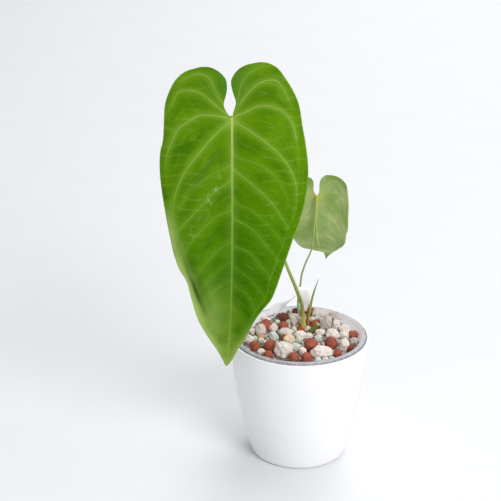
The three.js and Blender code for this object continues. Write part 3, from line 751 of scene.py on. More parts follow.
def grit_recipe():
    """Sharp grains scattered over the faces that look up, each with a random tint."""
    recipe = Recipe("grit", Density="number", Seed="count", Smallest="length", Largest="length",
                    Finish="finish")
    top = recipe.separate(recipe.node("GeometryNodeInputNormal"), "Z")
    level = recipe.node("FunctionNodeCompare", {"operation": "GREATER_THAN"}, {0: top, 1: 0.8})
    inputs = {"Mesh": recipe.given("Geometry"), "Selection": level,
              "Density": recipe.given("Density"), "Seed": recipe.given("Seed")}
    points = recipe.node("GeometryNodeDistributePointsOnFaces", None, inputs, "Points")
    tint = recipe.node("FunctionNodeRandomValue", {"data_type": "FLOAT"}, {"Seed": 3}, "Value_001")
    points = recipe.store(points, "tint", tint)
    turn = recipe.node("FunctionNodeRandomValue", {"data_type": "FLOAT_VECTOR"},
                       {"Max": (6.28, 6.28, 6.28), "Seed": 5}, "Value")
    size = recipe.node("FunctionNodeRandomValue", {"data_type": "FLOAT"},
                       {"Min_001": recipe.given("Smallest"), "Max_001": recipe.given("Largest"),
                        "Seed": 7}, "Value_001")
    grain = recipe.node("GeometryNodeMeshIcoSphere", None, {"Radius": 0.5, "Subdivisions": 1}, "Mesh")
    placed = recipe.node("GeometryNodeInstanceOnPoints", None,
                         {"Points": points, "Instance": grain, "Rotation": turn, "Scale": size})
    real = recipe.node("GeometryNodeRealizeInstances", None, {"Geometry": placed})
    where = recipe.node("GeometryNodeInputPosition")
    chaos = recipe.node("ShaderNodeTexNoise", None, {"Vector": where, "Scale": 600.0}, "Color")
    shift = recipe.vector_maths("SUBTRACT", chaos, (0.5, 0.5, 0.5))
    offset = recipe.scale(shift, recipe.given("Largest") * 0.9)
    broken = recipe.node("GeometryNodeSetPosition", None, {"Geometry": real, "Offset": offset})
    recipe.done(broken)
    return recipe


# %% Grit between the stones
def grit_finish():
    finish = Finish("grit", Specular_IOR_Level=0.25)
    place = finish.place()
    stops = [(0, paint(206, 194, 184)), (0.34, paint(160, 148, 140)), (0.5, paint(152, 168, 152)),
             (0.66, paint(120, 132, 116)), (0.8, paint(186, 160, 130)), (0.9, paint(122, 62, 46))]
    body = finish.ramp(finish.stored("tint"), stops)
    finish.feed(Base_Color=finish.mix(finish.speckle(place, 2) * 0.6, body, paint(72, 62, 54)),
                Roughness=0.85 + 0.1 * finish.speckle(place, 1),
                Normal=finish.relief(finish.speckle(place, 0.5), 0.1))
    return finish.material


bed = filling()
scatter = bed.copy()
scatter.data = bed.data.copy()
bpy.context.scene.collection.objects.link(scatter)
keep(bed, "pumice", "pumice_bed")
grit = grow("grit", scatter, grit_recipe(), smooth=False, Density=110000.0, Seed=4,
            Smallest=1.6 * MM, Largest=4.2 * MM, Finish=grit_finish())
keep(grit, "pumice")

# %% [markdown]
# ## The blade: its outline and its bend
#
# A leaf's blade is drawn flat first: a runs across it and b down its midrib, in millimetres from
# the point where the stalk joins. A margin runs from the tip round to the top of a lobe. A sinus, the
# cleft between the lobes, runs from close to the stalk up to the same place. Each half becomes a
# grid between midrib and margin. The grid is then bent in space by the rule that the CAD uses, so
# the fine blade lies on the plain one.

# %% The outlines of both leaves
LARGE = {
    "length": 247.5, "half": 68.5, "sway": -6.2, "fold": 5.5,
    "scale": (1, 1), "stalk": (-67, -42, 372), "facing": 0, "lean": (16, -20),
    "thick": 0.8, "rib": 1.5, "quilt": 0.5,
    "margins": {
        "left": [(-6.2, 247.5), (-7.5, 246.5), (-9.7, 241), (-15, 229.5), (-22.9, 216.2),
                 (-32.6, 197.2), (-38.5, 176.9), (-43.6, 158), (-49.4, 147.7), (-54.4, 133.8),
                 (-59.2, 110), (-66.2, 66), (-67.4, 50), (-66.6, 34), (-64, 23), (-63, 10),
                 (-61.7, -10), (-58.2, -21), (-52.2, -32), (-43.4, -39.8), (-28.7, -44.5)],
        "right": [(-6.2, 247.5), (-4.9, 246.6), (-1.2, 241.3), (4.3, 229.8), (12.2, 216.4),
                  (21.4, 197.1), (28.3, 186.7), (36.3, 176.6), (40.6, 166.5), (47, 146.7),
                  (54, 125.5), (66, 89), (70.3, 62), (70.5, 46), (67.7, 23.4), (65.5, 12),
                  (61.7, -10), (57.1, -21), (50.6, -32), (41.3, -43.8), (33, -48), (26.1, -48.9)],
    },
    "sinuses": {
        "left": [(0, 1.9), (-4.1, -1.9), (-7.3, -8.3), (-7.3, -12), (-5.3, -19.3), (-4.5, -26.5),
                 (-6.1, -33.8), (-12.3, -40.2), (-19.6, -43.8), (-28.7, -44.5)],
        "right": [(0, 1.9), (1.7, -4.6), (3.6, -12), (1.4, -19.3), (-0.3, -26.5), (0, -33.8),
                  (4.9, -41.1), (12.4, -45.8), (26.1, -48.9)],
    },
}
SMALL = {
    "length": 251, "half": 68.5, "sway": 2, "fold": 0,
    "scale": (-0.48, 0.52), "stalk": (19.1, 88, 245.4), "facing": 168,
    "lean": (0, -93, 619, -506), "thick": 0.7, "rib": 0.9, "quilt": 0.6,
    "margins": {
        "left": [(2, 251), (0, 236), (-3, 221), (-11, 218), (-21, 214), (-33, 187), (-43, 135),
                 (-51, 108), (-60, 72), (-63, 42), (-61, 12), (-53, -16), (-40, -32), (-22, -37)],
        "right": [(2, 251), (8, 241), (21, 221), (33, 180), (43, 142), (56, 116), (64, 98),
                  (67, 77), (70, 69), (71, 40), (71, 11), (67, -18), (63, -30), (54, -38),
                  (43, -43), (27, -45)],
    },
    "sinuses": {
        "left": [(0, 0), (-4, -3), (-8, -11), (-8, -21), (-9, -29), (-14, -35), (-22, -37)],
        "right": [(0, 0), (3, -3), (5, -12), (5, -22), (7, -33), (16, -42.5), (27, -45)],
    },
}
# The share of the margin that lies below the stalk's joint, how late the midrib sways, and how
# much closer the grid's columns are near the midrib.
SHOULDER, SWAY_POWER, CLOSENESS = 0.78, 5, 1.2


def midrib(leaf, b):
    """How far the midrib lies off the straight line at b."""
    return leaf["sway"] * np.clip(b / leaf["length"], 0, None) ** SWAY_POWER


def half_grid(leaf, side, below, above, columns):
    """Places (a, b) in rows from the tip up to the top of one lobe, from midrib to margin."""
    fine = 4000
    margin = smooth_line(leaf["margins"][side], fine)
    sinus = smooth_line(leaf["sinuses"][side], fine)
    low = np.linspace(0, 1, below + 1)
    high = np.linspace(0, 1, above + 1)[1:]
    b = leaf["length"] + (leaf["sinuses"][side][0][1] - leaf["length"]) * low
    inner = np.vstack([np.stack([midrib(leaf, b), b], axis=1),
                       sinus[np.round(high * (fine - 1)).astype(int)]])
    up = np.concatenate([SHOULDER * low, SHOULDER + (1 - SHOULDER) * high])
    outer = margin[np.round(up * (fine - 1)).astype(int)]
    share = np.linspace(0, 1, columns) ** CLOSENESS
    return inner[:, None] + (outer - inner)[:, None] * share[None, :, None]


print("A coarse half grid:", half_grid(LARGE, "left", 4, 2, 3).shape)

# %% [markdown]
# The midrib leans from the vertical by an angle that changes down the blade. Summing small steps
# at that angle gives its curve. Beside it each half rises, then droops to the margin, with slow
# waves along the edge. The large leaf also has a crease near its lower left margin: the blade
# drops to it from the midrib's side, and beyond it a narrow strip comes up again to the edge.

# %% Beside a line
def beside(points, line):
    """For each point: how far from the line, on which side (+1 or -1), and the share along it."""
    starts, arms = line[:-1], np.diff(line, axis=0)
    lengths = (arms**2).sum(axis=1)
    gaps = points[:, None] - starts[None]
    t = np.clip((gaps * arms[None]).sum(axis=2) / lengths[None], 0, 1)
    away = gaps - t[..., None] * arms[None]
    distance = np.sqrt((away**2).sum(axis=2))
    nearest = distance.argmin(axis=1)
    row = np.arange(len(points))
    arm, gap = arms[nearest], gaps[row, nearest]
    side = np.sign(arm[:, 0] * gap[:, 1] - arm[:, 1] * gap[:, 0])
    return distance[row, nearest], side, (nearest + t[row, nearest]) / len(arms)


print("2 mm beside a line:", [float(each[0]) for each in beside(np.array([[3, 2]]),
                                                                np.array([[0, 0], [6, 0]]))])

# %% The crease, the crown and the waves
CROWN, DROOP, RIPPLE, RIPPLE_LENGTH = 11, 17, 1.4, 92
RIPPLE_STARTS = {"left": 1.2, "right": 3.6}
CREASE = [(-48, 132), (-46, 141), (-43, 151), (-39, 159), (-33.5, 175), (-28.5, 188), (-24.5, 196),
          (-21, 203)]
CREASE_INNER, CREASE_OUTER, CREASE_ROUNDING, CREASE_FADE = 11, 6.5, 0.04, 0.8


def crease_of(a, b):
    """1 in the bottom of the crease, 0 away from it and at its two ends."""
    distance, side, share = beside(np.stack([a, b], axis=1), smooth_line(CREASE, 40))
    across = distance / np.where(side < 0, CREASE_INNER, CREASE_OUTER)
    valley_shade = np.clip(1 + CREASE_ROUNDING - np.hypot(across, CREASE_ROUNDING), 0, 1)
    return valley_shade * np.sin(np.pi * np.clip(share, 0, 1)) ** CREASE_FADE


def lift_of(leaf, a, b):
    """How far the blade stands off the flat at (a, b)."""
    share = np.abs(a - midrib(leaf, b)) / leaf["half"]
    start = np.where(a < 0, RIPPLE_STARTS["left"], RIPPLE_STARTS["right"])
    wave = np.sin(2 * np.pi * b / RIPPLE_LENGTH + start)
    lift = CROWN * share - DROOP * share**2 + RIPPLE * wave * share**3
    return lift - leaf["fold"] * crease_of(a, b)


print("Lift of the margin:", lift_of(LARGE, np.array([-68.0, 68.0]), np.array([60.0, 60.0])).round(1))


# %% The blade bent in space
def bend(leaf, a, b, lift):
    """The points (a, b) of a blade in space, each raised off the midrib's curve by its lift."""
    wide, long = leaf["scale"]
    turn = np.radians(leaf["facing"])
    ahead = np.array([np.sin(turn), -np.cos(turn), 0])
    across = np.array([np.cos(turn), np.sin(turn), 0])
    up = np.array([0, 0, 1])
    run = np.linspace(-60, leaf["length"] + 2, 4000)
    angles = np.radians(sum(part * np.clip(run / leaf["length"], 0, None) ** power
                            for power, part in enumerate(leaf["lean"])))
    step = (run[1] - run[0]) * long
    out, down = np.cumsum(np.sin(angles)) * step, np.cumsum(np.cos(angles)) * step
    lean = np.interp(b, run, angles)[..., None]
    out = (np.interp(b, run, out) - np.interp(0, run, out))[..., None]
    down = (np.interp(b, run, down) - np.interp(0, run, down))[..., None]
    normal = ahead * np.cos(lean) + up * np.sin(lean)
    flat = np.array(leaf["stalk"]) + across * a[..., None] * wide
    return flat + ahead * out - up * down + normal * (lift * abs(wide))[..., None]


# %% [markdown]
# ## The veins
#
# Pale veins are what one sees first on this leaf. Some leave the stalk's joint and sweep round the
# lobes, the others leave the midrib and curve towards the margin, and a collecting vein gathers
# them near the edge. Each is a smooth line on the flat blade, given by a few of its points. An
# image of them would blur close up, so they are kept as numbers on the blade's points instead.
#
# Every point of the grid stores where it lies among the veins. On one half they follow each other
# in order and never cross, so a running number can count them: it is whole on a vein and in between
# elsewhere. A shader draws a thin crisp line wherever that number is whole, however coarse the grid.

# %% Where the veins run
# Each vein is its strength, then its points.
VEINS = {
    "left": [
        (0.6, [(0, 0), (-9, -11), (-16, -24), (-21, -34), (-28, -38), (-36, -37), (-46, -32)]),
        (0.8, [(0, 1), (-7, -3), (-19, -13), (-30, -21), (-40, -23), (-50, -21), (-54, -13)]),
        (1.0, [(0, 2), (-4, 2), (-16, 0), (-30, 0), (-41, 6), (-50, 13), (-55, 23), (-60, 35),
               (-62, 46)]),
        (1.0, [(0, 4), (-4, 7), (-16, 18), (-30, 34), (-43, 51), (-50, 65), (-54, 80), (-55, 92)]),
        (0.3, [(0, 44), (-9, 50), (-16, 53), (-38, 69), (-49, 86)]),
        (0.7, [(0, 58), (-4, 62), (-16, 70), (-28, 83), (-40, 96), (-52, 109)]),
        (0.55, [(0, 86), (-3, 89), (-14, 93), (-24, 102), (-34, 113), (-42, 124), (-46, 133)]),
        (0.6, [(0, 117), (-2, 119), (-12, 125), (-22, 136), (-30, 146), (-36, 158)]),
        (0.3, [(0, 138), (-8, 142), (-20, 153), (-28, 164)]),
        (0.5, [(0, 155), (-6, 159), (-17, 167), (-25, 177)]),
        (0.5, [(-1, 178), (-5, 181), (-12, 184), (-19, 190)]),
        (0.3, [(-2, 200), (-7, 204), (-14, 212)]),
    ],
    "right": [
        (0.5, [(0, 0), (5, -6), (6, -17), (9, -29), (15, -38), (22, -42)]),
        (0.9, [(0, 1), (6, -9), (15, -21), (24, -29), (32, -32), (40, -32), (46, -26), (50, -18)]),
        (1.0, [(0, 2), (4, 0), (12, -3), (22, -8), (33, -9), (43, -6), (51, 0), (56, 8),
               (59, 20), (62, 34)]),
        (1.0, [(0, 3), (4, 6), (15, 13), (29, 23), (42, 34), (52, 46), (57, 57), (60, 70),
               (59, 89)]),
        (0.35, [(0, 34), (6, 39), (19, 43), (32, 49), (42, 59), (49, 71)]),
        (0.8, [(0, 48), (3, 51), (12, 58), (25, 69), (36, 80), (46, 95), (53, 107)]),
        (0.35, [(0, 78), (4, 82), (17, 87), (28, 96), (38, 107), (46, 119)]),
        (0.6, [(0, 94), (3, 97), (15, 103), (24, 111), (32, 122), (42, 134)]),
        (0.6, [(0, 121), (3, 123), (15, 128), (24, 138), (37, 155)]),
        (0.4, [(0, 142), (4, 145), (17, 155), (30, 173)]),
        (0.55, [(0, 160), (4, 163), (11, 167), (18, 176), (21, 186)]),
        (0.35, [(-1, 184), (4, 188), (10, 196), (12, 204)]),
    ],
}
COLLECTING = {
    "left": [(-60, 30), (-62, 46), (-60, 70), (-56, 92), (-52, 109), (-46, 130), (-38, 152),
             (-28, 178), (-19, 196), (-10, 212)],
    "right": [(60, 22), (62, 40), (61, 62), (59, 90), (52, 106), (48, 120), (43, 133), (40, 143),
              (35, 155), (33, 168), (29, 177), (20, 190), (10, 208)],
}


# %% A running number that counts the veins
RUN_ON, BESIDE_LAST, FADE_FROM, FADE_WIDTH = 14, 24, 0.62, 1.2


def extended(points):
    """The line with a straight run past its end, so that veins stay in order up to the margin."""
    last, before = np.array(points[-1], float), np.array(points[-2], float)
    return [*points, tuple(last + (last - before) / np.linalg.norm(last - before) * RUN_ON)]


def softened(values, rounds=8):
    """The grid of values with its steps smoothed out."""
    for _ in range(rounds):
        padded = np.pad(values, 1, mode="edge")
        values = (padded[:-2, 1:-1] + padded[2:, 1:-1] + padded[1:-1, :-2] + padded[1:-1, 2:]) / 4
    return values


def vein_values(leaf, side, grid):
    """What each point of a half's grid stores about the veins."""
    rows, columns = grid.shape[:2]
    points = grid.reshape(-1, 2)
    hand = -1 if side == "left" else 1
    found = [beside(points, smooth_line(extended(line), 60)) for strength, line in VEINS[side]]
    distance = np.stack([each[0] for each in found])
    ahead = np.stack([each[1] for each in found]) * hand
    along = np.stack([each[2] for each in found])
    row = np.arange(len(points))
    nearest = distance.argmin(axis=0)
    near, onward = distance[nearest, row], ahead[nearest, row]
    other = np.clip(nearest + onward.astype(int), 0, len(found) - 1)
    far = np.where(other == nearest, BESIDE_LAST + near, distance[other, row])
    strength = np.array([each[0] for each in VEINS[side]])[nearest]
    fade = 1 - np.clip((along[nearest, row] - FADE_FROM) / (1 - FADE_FROM), 0, 1) ** 2
    collecting = beside(points, smooth_line(COLLECTING[side], 90))
    inward = -collecting[0] * collecting[1] * -hand
    fade *= np.where(collecting[2] > 0.001, np.clip(inward / FADE_WIDTH + 0.4, 0, 1), 1)
    edge = beside(points, smooth_line(leaf["margins"][side], 200))[0]
    spacing = softened((near + far).reshape(rows, columns)).ravel()
    crease = crease_of(*points.T) if leaf["fold"] else np.zeros(len(points))
    return {"order": nearest + 1 + onward * near / (near + far), "spacing": spacing, "near": near,
            "strength": strength * fade, "collecting": collecting[0],
            "collected": 1 - np.abs(2 * collecting[2] - 1) ** 4, "edge": edge, "crease": crease,
            "rib": points[:, 0] - midrib(leaf, points[:, 1]), "down": points[:, 1]}


trial = vein_values(LARGE, "left", half_grid(LARGE, "left", 4, 2, 5))
print("Vein numbers on a coarse left half:", trial["order"].min().round(2), "to",
      trial["order"].max().round(2))


# %% [markdown]
# A blade is one closed solid, so the two halves are joined at the midrib, a second skin is laid
# behind the first at the leaf's thickness, and a strip closes the rim. The blade swells a little
# between the veins, and on the back the veins stand out as ridges.

# %% Join the halves
def merged_halves(grids):
    """One list of places for both halves, and faces that share the points on the midrib."""
    rows, columns = grids["left"].shape[:2]
    flat = np.vstack([grids[side].reshape(-1, 2) for side in ("left", "right")])
    _, first, names = np.unique(flat.round(4), axis=0, return_index=True, return_inverse=True)
    square = grid_faces(rows, columns)
    squares = np.vstack([square[:, ::-1], square + rows * columns])
    faces = []
    for face in names.ravel()[squares]:
        loop = [int(v) for i, v in enumerate(face) if v != face[i - 1]]
        if len(loop) > 2:
            faces.append(loop)
    return first, faces


# %% How a blade swells and thickens
SWELL_VEIN, SWELL_RIB, SWELL_EDGE = 5, 6, 8
RIDGE_WIDTH, RIDGE_TAPER, RIDGE_FRONT = 1.3, 0.75, 0.4
VEIN_RIDGE, VEIN_RIDGE_WIDTH = 0.35, 1.2
EDGE_SHARE, EDGE_WIDTH = 0.45, 3


def mound(distance, width):
    """1 where distance is 0, falling to nothing a few widths away."""
    return np.exp(-((distance / width) ** 2))


def blade_relief(leaf, b, stored):
    """What is added to the front, and the depth from front to back."""
    off_rib, near, edge = np.abs(stored["rib"]), stored["near"], stored["edge"]
    swell = (1 - mound(near, SWELL_VEIN)) * (1 - mound(off_rib, SWELL_RIB))
    swell *= np.clip(edge / SWELL_EDGE, 0, 1)
    ridge = mound(off_rib, RIDGE_WIDTH) * (1 - RIDGE_TAPER * np.clip(b / leaf["length"], 0, 1))
    depth = leaf["thick"] * np.clip(EDGE_SHARE + edge / EDGE_WIDTH, 0, 1) + leaf["rib"] * ridge
    depth += (VEIN_RIDGE * mound(near, VEIN_RIDGE_WIDTH) * stored["strength"]
              * np.clip(off_rib / 2, 0, 1))
    return leaf["quilt"] * swell + RIDGE_FRONT * ridge, depth


def facing_of(leaf, a, b, step=0.3):
    """The direction that the blade's upper face looks in at (a, b)."""
    right, left = (bend(leaf, a + move, b, lift_of(leaf, a + move, b)) for move in (step, -step))
    low, high = (bend(leaf, a, b + move, lift_of(leaf, a, b + move)) for move in (step, -step))
    normal = np.cross(low - high, right - left) * np.sign(leaf["scale"][0])
    return normal / np.linalg.norm(normal, axis=1)[:, None]


print("At the large leaf's joint the face looks along",
      facing_of(LARGE, np.array([0.0]), np.array([2.0])).round(2).tolist())


# %% Build a blade
def blade(name, leaf, below, above, columns):
    """A closed blade with its vein values stored on its points."""
    grids = {side: half_grid(leaf, side, below, above, columns) for side in ("left", "right")}
    values = [vein_values(leaf, side, grid) for side, grid in grids.items()]
    first, faces = merged_halves(grids)
    stored = {key: np.concatenate([each[key] for each in values])[first] for key in values[0]}
    a, b = np.vstack([grid.reshape(-1, 2) for grid in grids.values()])[first].T
    raised, depth = blade_relief(leaf, b, stored)
    front = bend(leaf, a, b, lift_of(leaf, a, b) + raised)
    back = front - facing_of(leaf, a, b) * depth[:, None]
    twice = {key: np.tile(each, 2) for key, each in stored.items()}
    twice["under"] = np.repeat([0.0, 1.0], len(front))
    faces = closed_sheet(faces, len(front))
    return smoothed(mesh_piece(name, np.vstack([front, back]), faces, twice))


# %% [markdown]
# ## The leaf's finish
#
# The finish reads those values too. It is built of masks, numbers from 0 to 1 that say how much of
# the next colour is laid over the ones before. As one function it would be too long to follow, so
# it is made in steps. The first reads the stored values and makes the masks that several steps share.

# %% What every step reads
class BladeFinish(Finish):
    """A finish that knows where on the blade it is."""

    def __init__(self, name):
        super().__init__(name, Specular_IOR_Level=0.02)
        self.spot = self.place()
        self.order, self.spacing, self.near = map(self.stored, ("order", "spacing", "near"))
        self.rib, self.down, self.strength = map(self.stored, ("rib", "down", "strength"))
        self.edge, self.under, self.crease = map(self.stored, ("edge", "under", "crease"))
        self.off_rib = self.maths("ABSOLUTE", self.rib)
        self.clear = self.step(self.off_rib, 0.6, 2.0)
        self.high = self.step(self.down, 170, 10)
        self.joint = self.bell(self.rib, 13) * self.bell(self.down - 2, 13)
        self.clouds = self.step(self.speckle(self.spot, 26, detail=5), 0.34, 0.66)
        run = self.combine(self.order * 5, self.rib * 0.05, self.down * 0.05)
        streaks = self.node("ShaderNodeTexNoise", None, {"Vector": run, "Scale": 1.0}, "Fac")
        self.stripes = self.step(streaks, 0.35, 0.65)

    def patchy(self, size, low, high, detail=3.0):
        """A mask of soft patches that are about size millimetres across."""
        return self.step(self.speckle(self.spot, size, detail=detail), low, high)


# %% [markdown]
# A thin bell round each whole vein number is the vein, and a wider one round it is the pale halo
# where the tissue thins towards it. Both are strongest near the stalk's joint and fade towards the
# tip, as the midrib does.

# %% Veins, midrib and halo
VEIN_WIDTH, RIB_WIDTH, RIB_TAPER, HALO_WIDTH, RIB_HALO_WIDTH = 0.42, 0.95, 0.0017, 3.2, 4.5


def main_veins(finish, spread):
    """Masks for the veins, for the midrib, and for the halo along both."""
    bell, step, high, joint = finish.bell, finish.step, finish.high, finish.joint
    whole = finish.maths("ROUND", finish.order)
    gap = finish.maths("ABSOLUTE", finish.order - whole) * finish.spacing
    veins = bell(gap, VEIN_WIDTH * spread) * finish.strength * finish.clear
    veins = veins * (0.45 + 0.55 * high + 0.5 * joint)
    below_joint = step(finish.down, -1, 3)
    width = (RIB_WIDTH - finish.down * RIB_TAPER) * spread
    rib_line = bell(finish.rib, width) * step(finish.down, 330, 0) * below_joint
    halo = bell(finish.near, HALO_WIDTH) * finish.strength * (0.25 + 0.75 * high + 0.6 * joint)
    halo = halo + bell(finish.rib, RIB_HALO_WIDTH) * (0.45 + 0.55 * high) * below_joint
    return veins, rib_line, halo


# %% [markdown]
# Between the veins lie fainter ones, a net of cells, and the collecting vein near the margin. Fine
# cross veins run over the outer half of the blade. All but the collecting vein come and go in
# patches.

# %% Fine veins
def fine_veins(finish):
    """Masks for all fine veins together, for the net and for the faint veins."""
    bell, step, rib, down = finish.bell, finish.step, finish.rib, finish.down
    halves = finish.maths("ABSOLUTE", finish.maths("FRACT", finish.order) - 0.5) * finish.spacing
    faint = bell(halves, 0.5) * finish.patchy(17, 0.42, 0.62) * finish.clear
    collecting = bell(finish.stored("collecting"), 0.5) * finish.stored("collected")
    across = finish.combine(finish.order * 2.4, rib * 0.16, down * 0.16)
    walls = finish.node("ShaderNodeTexVoronoi", {"feature": "DISTANCE_TO_EDGE"},
                        {"Vector": across, "Scale": 1.0, "Randomness": 0.85}, "Distance")
    net = step(walls, 0.08, 0.0) * finish.patchy(12, 0.4, 0.7)
    waves = down * 0.1 + finish.speckle(finish.spot, 34, detail=1.2) * 2.4
    cross = bell(finish.maths("FRACT", waves) - 0.5, 0.085) * step(down, 170, 120)
    cross = cross * step(finish.off_rib, 16, 34) * finish.patchy(14, 0.38, 0.6)
    fine = faint * 0.11 + net * 0.1 + collecting * 0.22 + cross * 0.16
    return finish.maths("MINIMUM", fine, 0.6), net, faint


# %% [markdown]
# The upper face is a ramp of greens from the lobes to the tip, partly painted light: lighter near
# the lobes, darker lower down where less light falls, and paler at the tip as a painted sheen. Over
# it lie tints: warmer on its left half, dark between the veins, and cool where the lobes meet.
# Painted shade lies right of the lower midrib and in one valley left of the midrib, and painted
# highlights lie along the lower left margin and round the tip, where the blade turns up to the
# light. The halo and the veins are laid over them.

# %% The upper face
def upper_green(finish, stops):
    """The greens of the upper face without its veins."""
    bell, step, rib, down, edge = (finish.bell, finish.step, finish.rib, finish.down, finish.edge)
    rough = 1 - finish.clouds
    # Painted shade right of the lower midrib, where the blade turns from the light.
    shade = bell(rib - 8, 22) * bell(down - 150, 62) * 0.35
    between = (1 - bell(finish.near, 6)) * rough
    dark = shade + between * 0.42 + rough * 0.12 + (1 - finish.stripes) * finish.clear * 0.14
    # Painted shade along one valley left of the midrib.
    valley_shade = bell(rib + 11 + (down - 31) * 0.69, 4) * bell(down - 52, 20)
    # Painted highlights: the lower left margin, the tip's rim and a patch left of the lower midrib are
    # painted paler, where the blade turns up to the light.
    border = bell(edge, 7) * step(rib, 0, -16) * step(down, 76, 112) * 0.85
    tip_rim = bell(edge, 4) * step(down, 185, 215) * 0.4
    sheen = bell(rib + 20, 13) * bell(down - 198, 30) * 0.45
    lit = finish.maths("MAXIMUM", finish.maths("MAXIMUM", border, tip_rim), sheen)
    tints = [(step(rib, 0, -26) * 0.5, paint(98, 144, 14)),
             (dark, paint(38, 92, 0)),
             (bell(rib, 15) * step(down, -8, -24) * 0.5, paint(70, 118, 44)),
             (valley_shade * 0.55, paint(66, 108, 30)),
             (lit, paint(160, 184, 100))]
    # The ramp is partly painted light: lighter near the lobes, darker lower down, and paler at the tip as
    # sheen.
    body = finish.ramp((down + 50) / 300 + (finish.clouds - 0.5) * 0.12, stops)
    for share, colour in tints:
        body = finish.mix(share, body, colour)
    return body


def upper_face(finish, body, masks, halo_strength, vein, core):
    """The greens with the halo, the joint's glow, the fine veins, the veins and the midrib."""
    veins, rib_line, halo, fine = masks
    glow = finish.bell(finish.rib, 6) * finish.bell(finish.down - 6, 6) * 0.32
    body = finish.mix(finish.maths("MINIMUM", halo * halo_strength, 0.8), body,
                      finish.mix(0.35, body, vein))
    for share in (glow, fine, veins * 0.6):
        body = finish.mix(share, body, vein)
    return finish.mix(rib_line * 0.75, body, finish.mix(finish.step(finish.down, 90, 0), vein, core))


# %% [markdown]
# The back is paler and duller. Its lobes and its tip curl, so they show some of the darker green,
# and it is yellow where the stalk joins. Scratches on the upper face are short pale lines of
# stretched noise, in clumps along one path left of the midrib.

# %% The back and the scratches
def lower_face(finish, fine, lines, vein, back, dull):
    body = finish.mix(finish.patchy(24, 0.3, 0.72), back, dull)
    curled = finish.bell(finish.edge, 11) * finish.step(finish.down, -8, -24) * 0.75
    curled = finish.maths("MAXIMUM", curled, finish.step(finish.down, 222, 240) * 0.8)
    for share, colour in [(curled, paint(96, 138, 52)),
                          ((1 - finish.stripes) * finish.clear * 0.35, dull),
                          (finish.joint * 0.7, paint(196, 202, 92)),
                          (finish.maths("MINIMUM", lines * 0.8 + fine * 0.5, 1.0), vein)]:
        body = finish.mix(share, body, colour)
    return body


def scratches(finish):
    """A mask of short lines on the upper face."""
    path = finish.rib + 11 + (finish.down - 57) * 0.5
    smeared_and_lit = finish.bell(path, 5) * finish.bell(finish.down - 84, 38)
    marks = finish.speckle(finish.stretched(finish.spot, x=0.9, z=0.4), 2.2, detail=4)
    clumps = finish.patchy(11, 0.45, 0.6, detail=1)
    return finish.step(marks, 0.5, 0.62) * clumps * smeared_and_lit * (1 - finish.under)


# %% The leaf's finish
def leaf_finish(name, stops, tones, halo_strength, spread):
    """stops run from the lobes to the tip; tones are vein, core, back and dull back."""
    vein, core, back, dull = tones
    finish = BladeFinish(name)
    mix, step, under = finish.mix, finish.step, finish.under
    veins, rib_line, halo = main_veins(finish, spread)
    fine, net, faint = fine_veins(finish)
    lines = finish.maths("MINIMUM", finish.maths("MAXIMUM", veins * 0.62, rib_line), 1.0)
    upper = upper_face(finish, upper_green(finish, stops), (veins, rib_line, halo, fine),
                       halo_strength, vein, core)
    skin = mix(under, upper, lower_face(finish, fine, lines, vein, back, dull))
    skin = mix(step(finish.edge, 1.1, 0.2) * 0.4, skin, vein)
    # Painted shade along the bottom of the large leaf's crease.
    shaded = step(finish.crease, 0.35, 1) * 0.3 + step(finish.crease, 0.72, 1) * 0.45
    skin = mix(shaded * (1 - under), skin, paint(24, 58, 4))
    finish.feed(Base_Color=mix(scratches(finish) * 0.5, skin, paint(170, 190, 126)),
                Roughness=0.45 + 0.12 * finish.clouds + 0.15 * under + 0.1 * lines,
                Normal=finish.relief(net * 0.25 + veins - 0.6 * faint, 0.14,
                                     finish.relief(finish.speckle(finish.spot, 0.9), 0.03)))
    return finish.material


# %% The large leaf
# The greens are partly painted light: lighter near the lobes, darker lower down where less light falls,
# and paler at the tip as painted sheen.
LARGE_STOPS = [(0, paint(100, 141, 10)), (0.2, paint(96, 140, 4)), (0.4, paint(89, 135, 0)),
               (0.62, paint(76, 125, 0)), (0.8, paint(78, 125, 0)), (0.9, paint(98, 135, 20)),
               (1, paint(118, 150, 54))]
LARGE_TONES = (paint(160, 190, 88), paint(200, 214, 124), paint(128, 158, 80),
               paint(110, 144, 66))
large = blade("large_leaf_blade", LARGE, below=190, above=60, columns=66)
large.data.materials.append(leaf_finish("leaf_green", LARGE_STOPS, LARGE_TONES, 0.5, 1))
keep(large, "leaf", "leaf_large")

# %% The small leaf
SMALL_STOPS = [(0, paint(84, 138, 40)), (0.6, paint(104, 152, 54)), (1, paint(110, 150, 60))]
SMALL_TONES = (paint(182, 194, 96), paint(200, 208, 130), paint(182, 196, 134),
               paint(136, 164, 90))
small = blade("small_leaf_blade", SMALL, below=130, above=44, columns=44)
small.data.materials.append(leaf_finish("young_leaf", SMALL_STOPS, SMALL_TONES, 0.4, 2.4))
keep(small, "leaf", "leaf_small")

# %% [markdown]
# ## Stalks, new leaf and roots
#
# A stalk is a chain of points along a smooth path. Each point carries its girth, and how far along
# the stalk it lies. One recipe turns any number of chains into round solids: a circle is carried
# along each, scaled by the girth, and the skin is pushed in and out a little. A curve object with a
# bevel could draw them too, but its skin would be smooth, and it would not pass on the place along
# the stalk. The colour follows that value, so a stalk can be pale at its base and greener above.

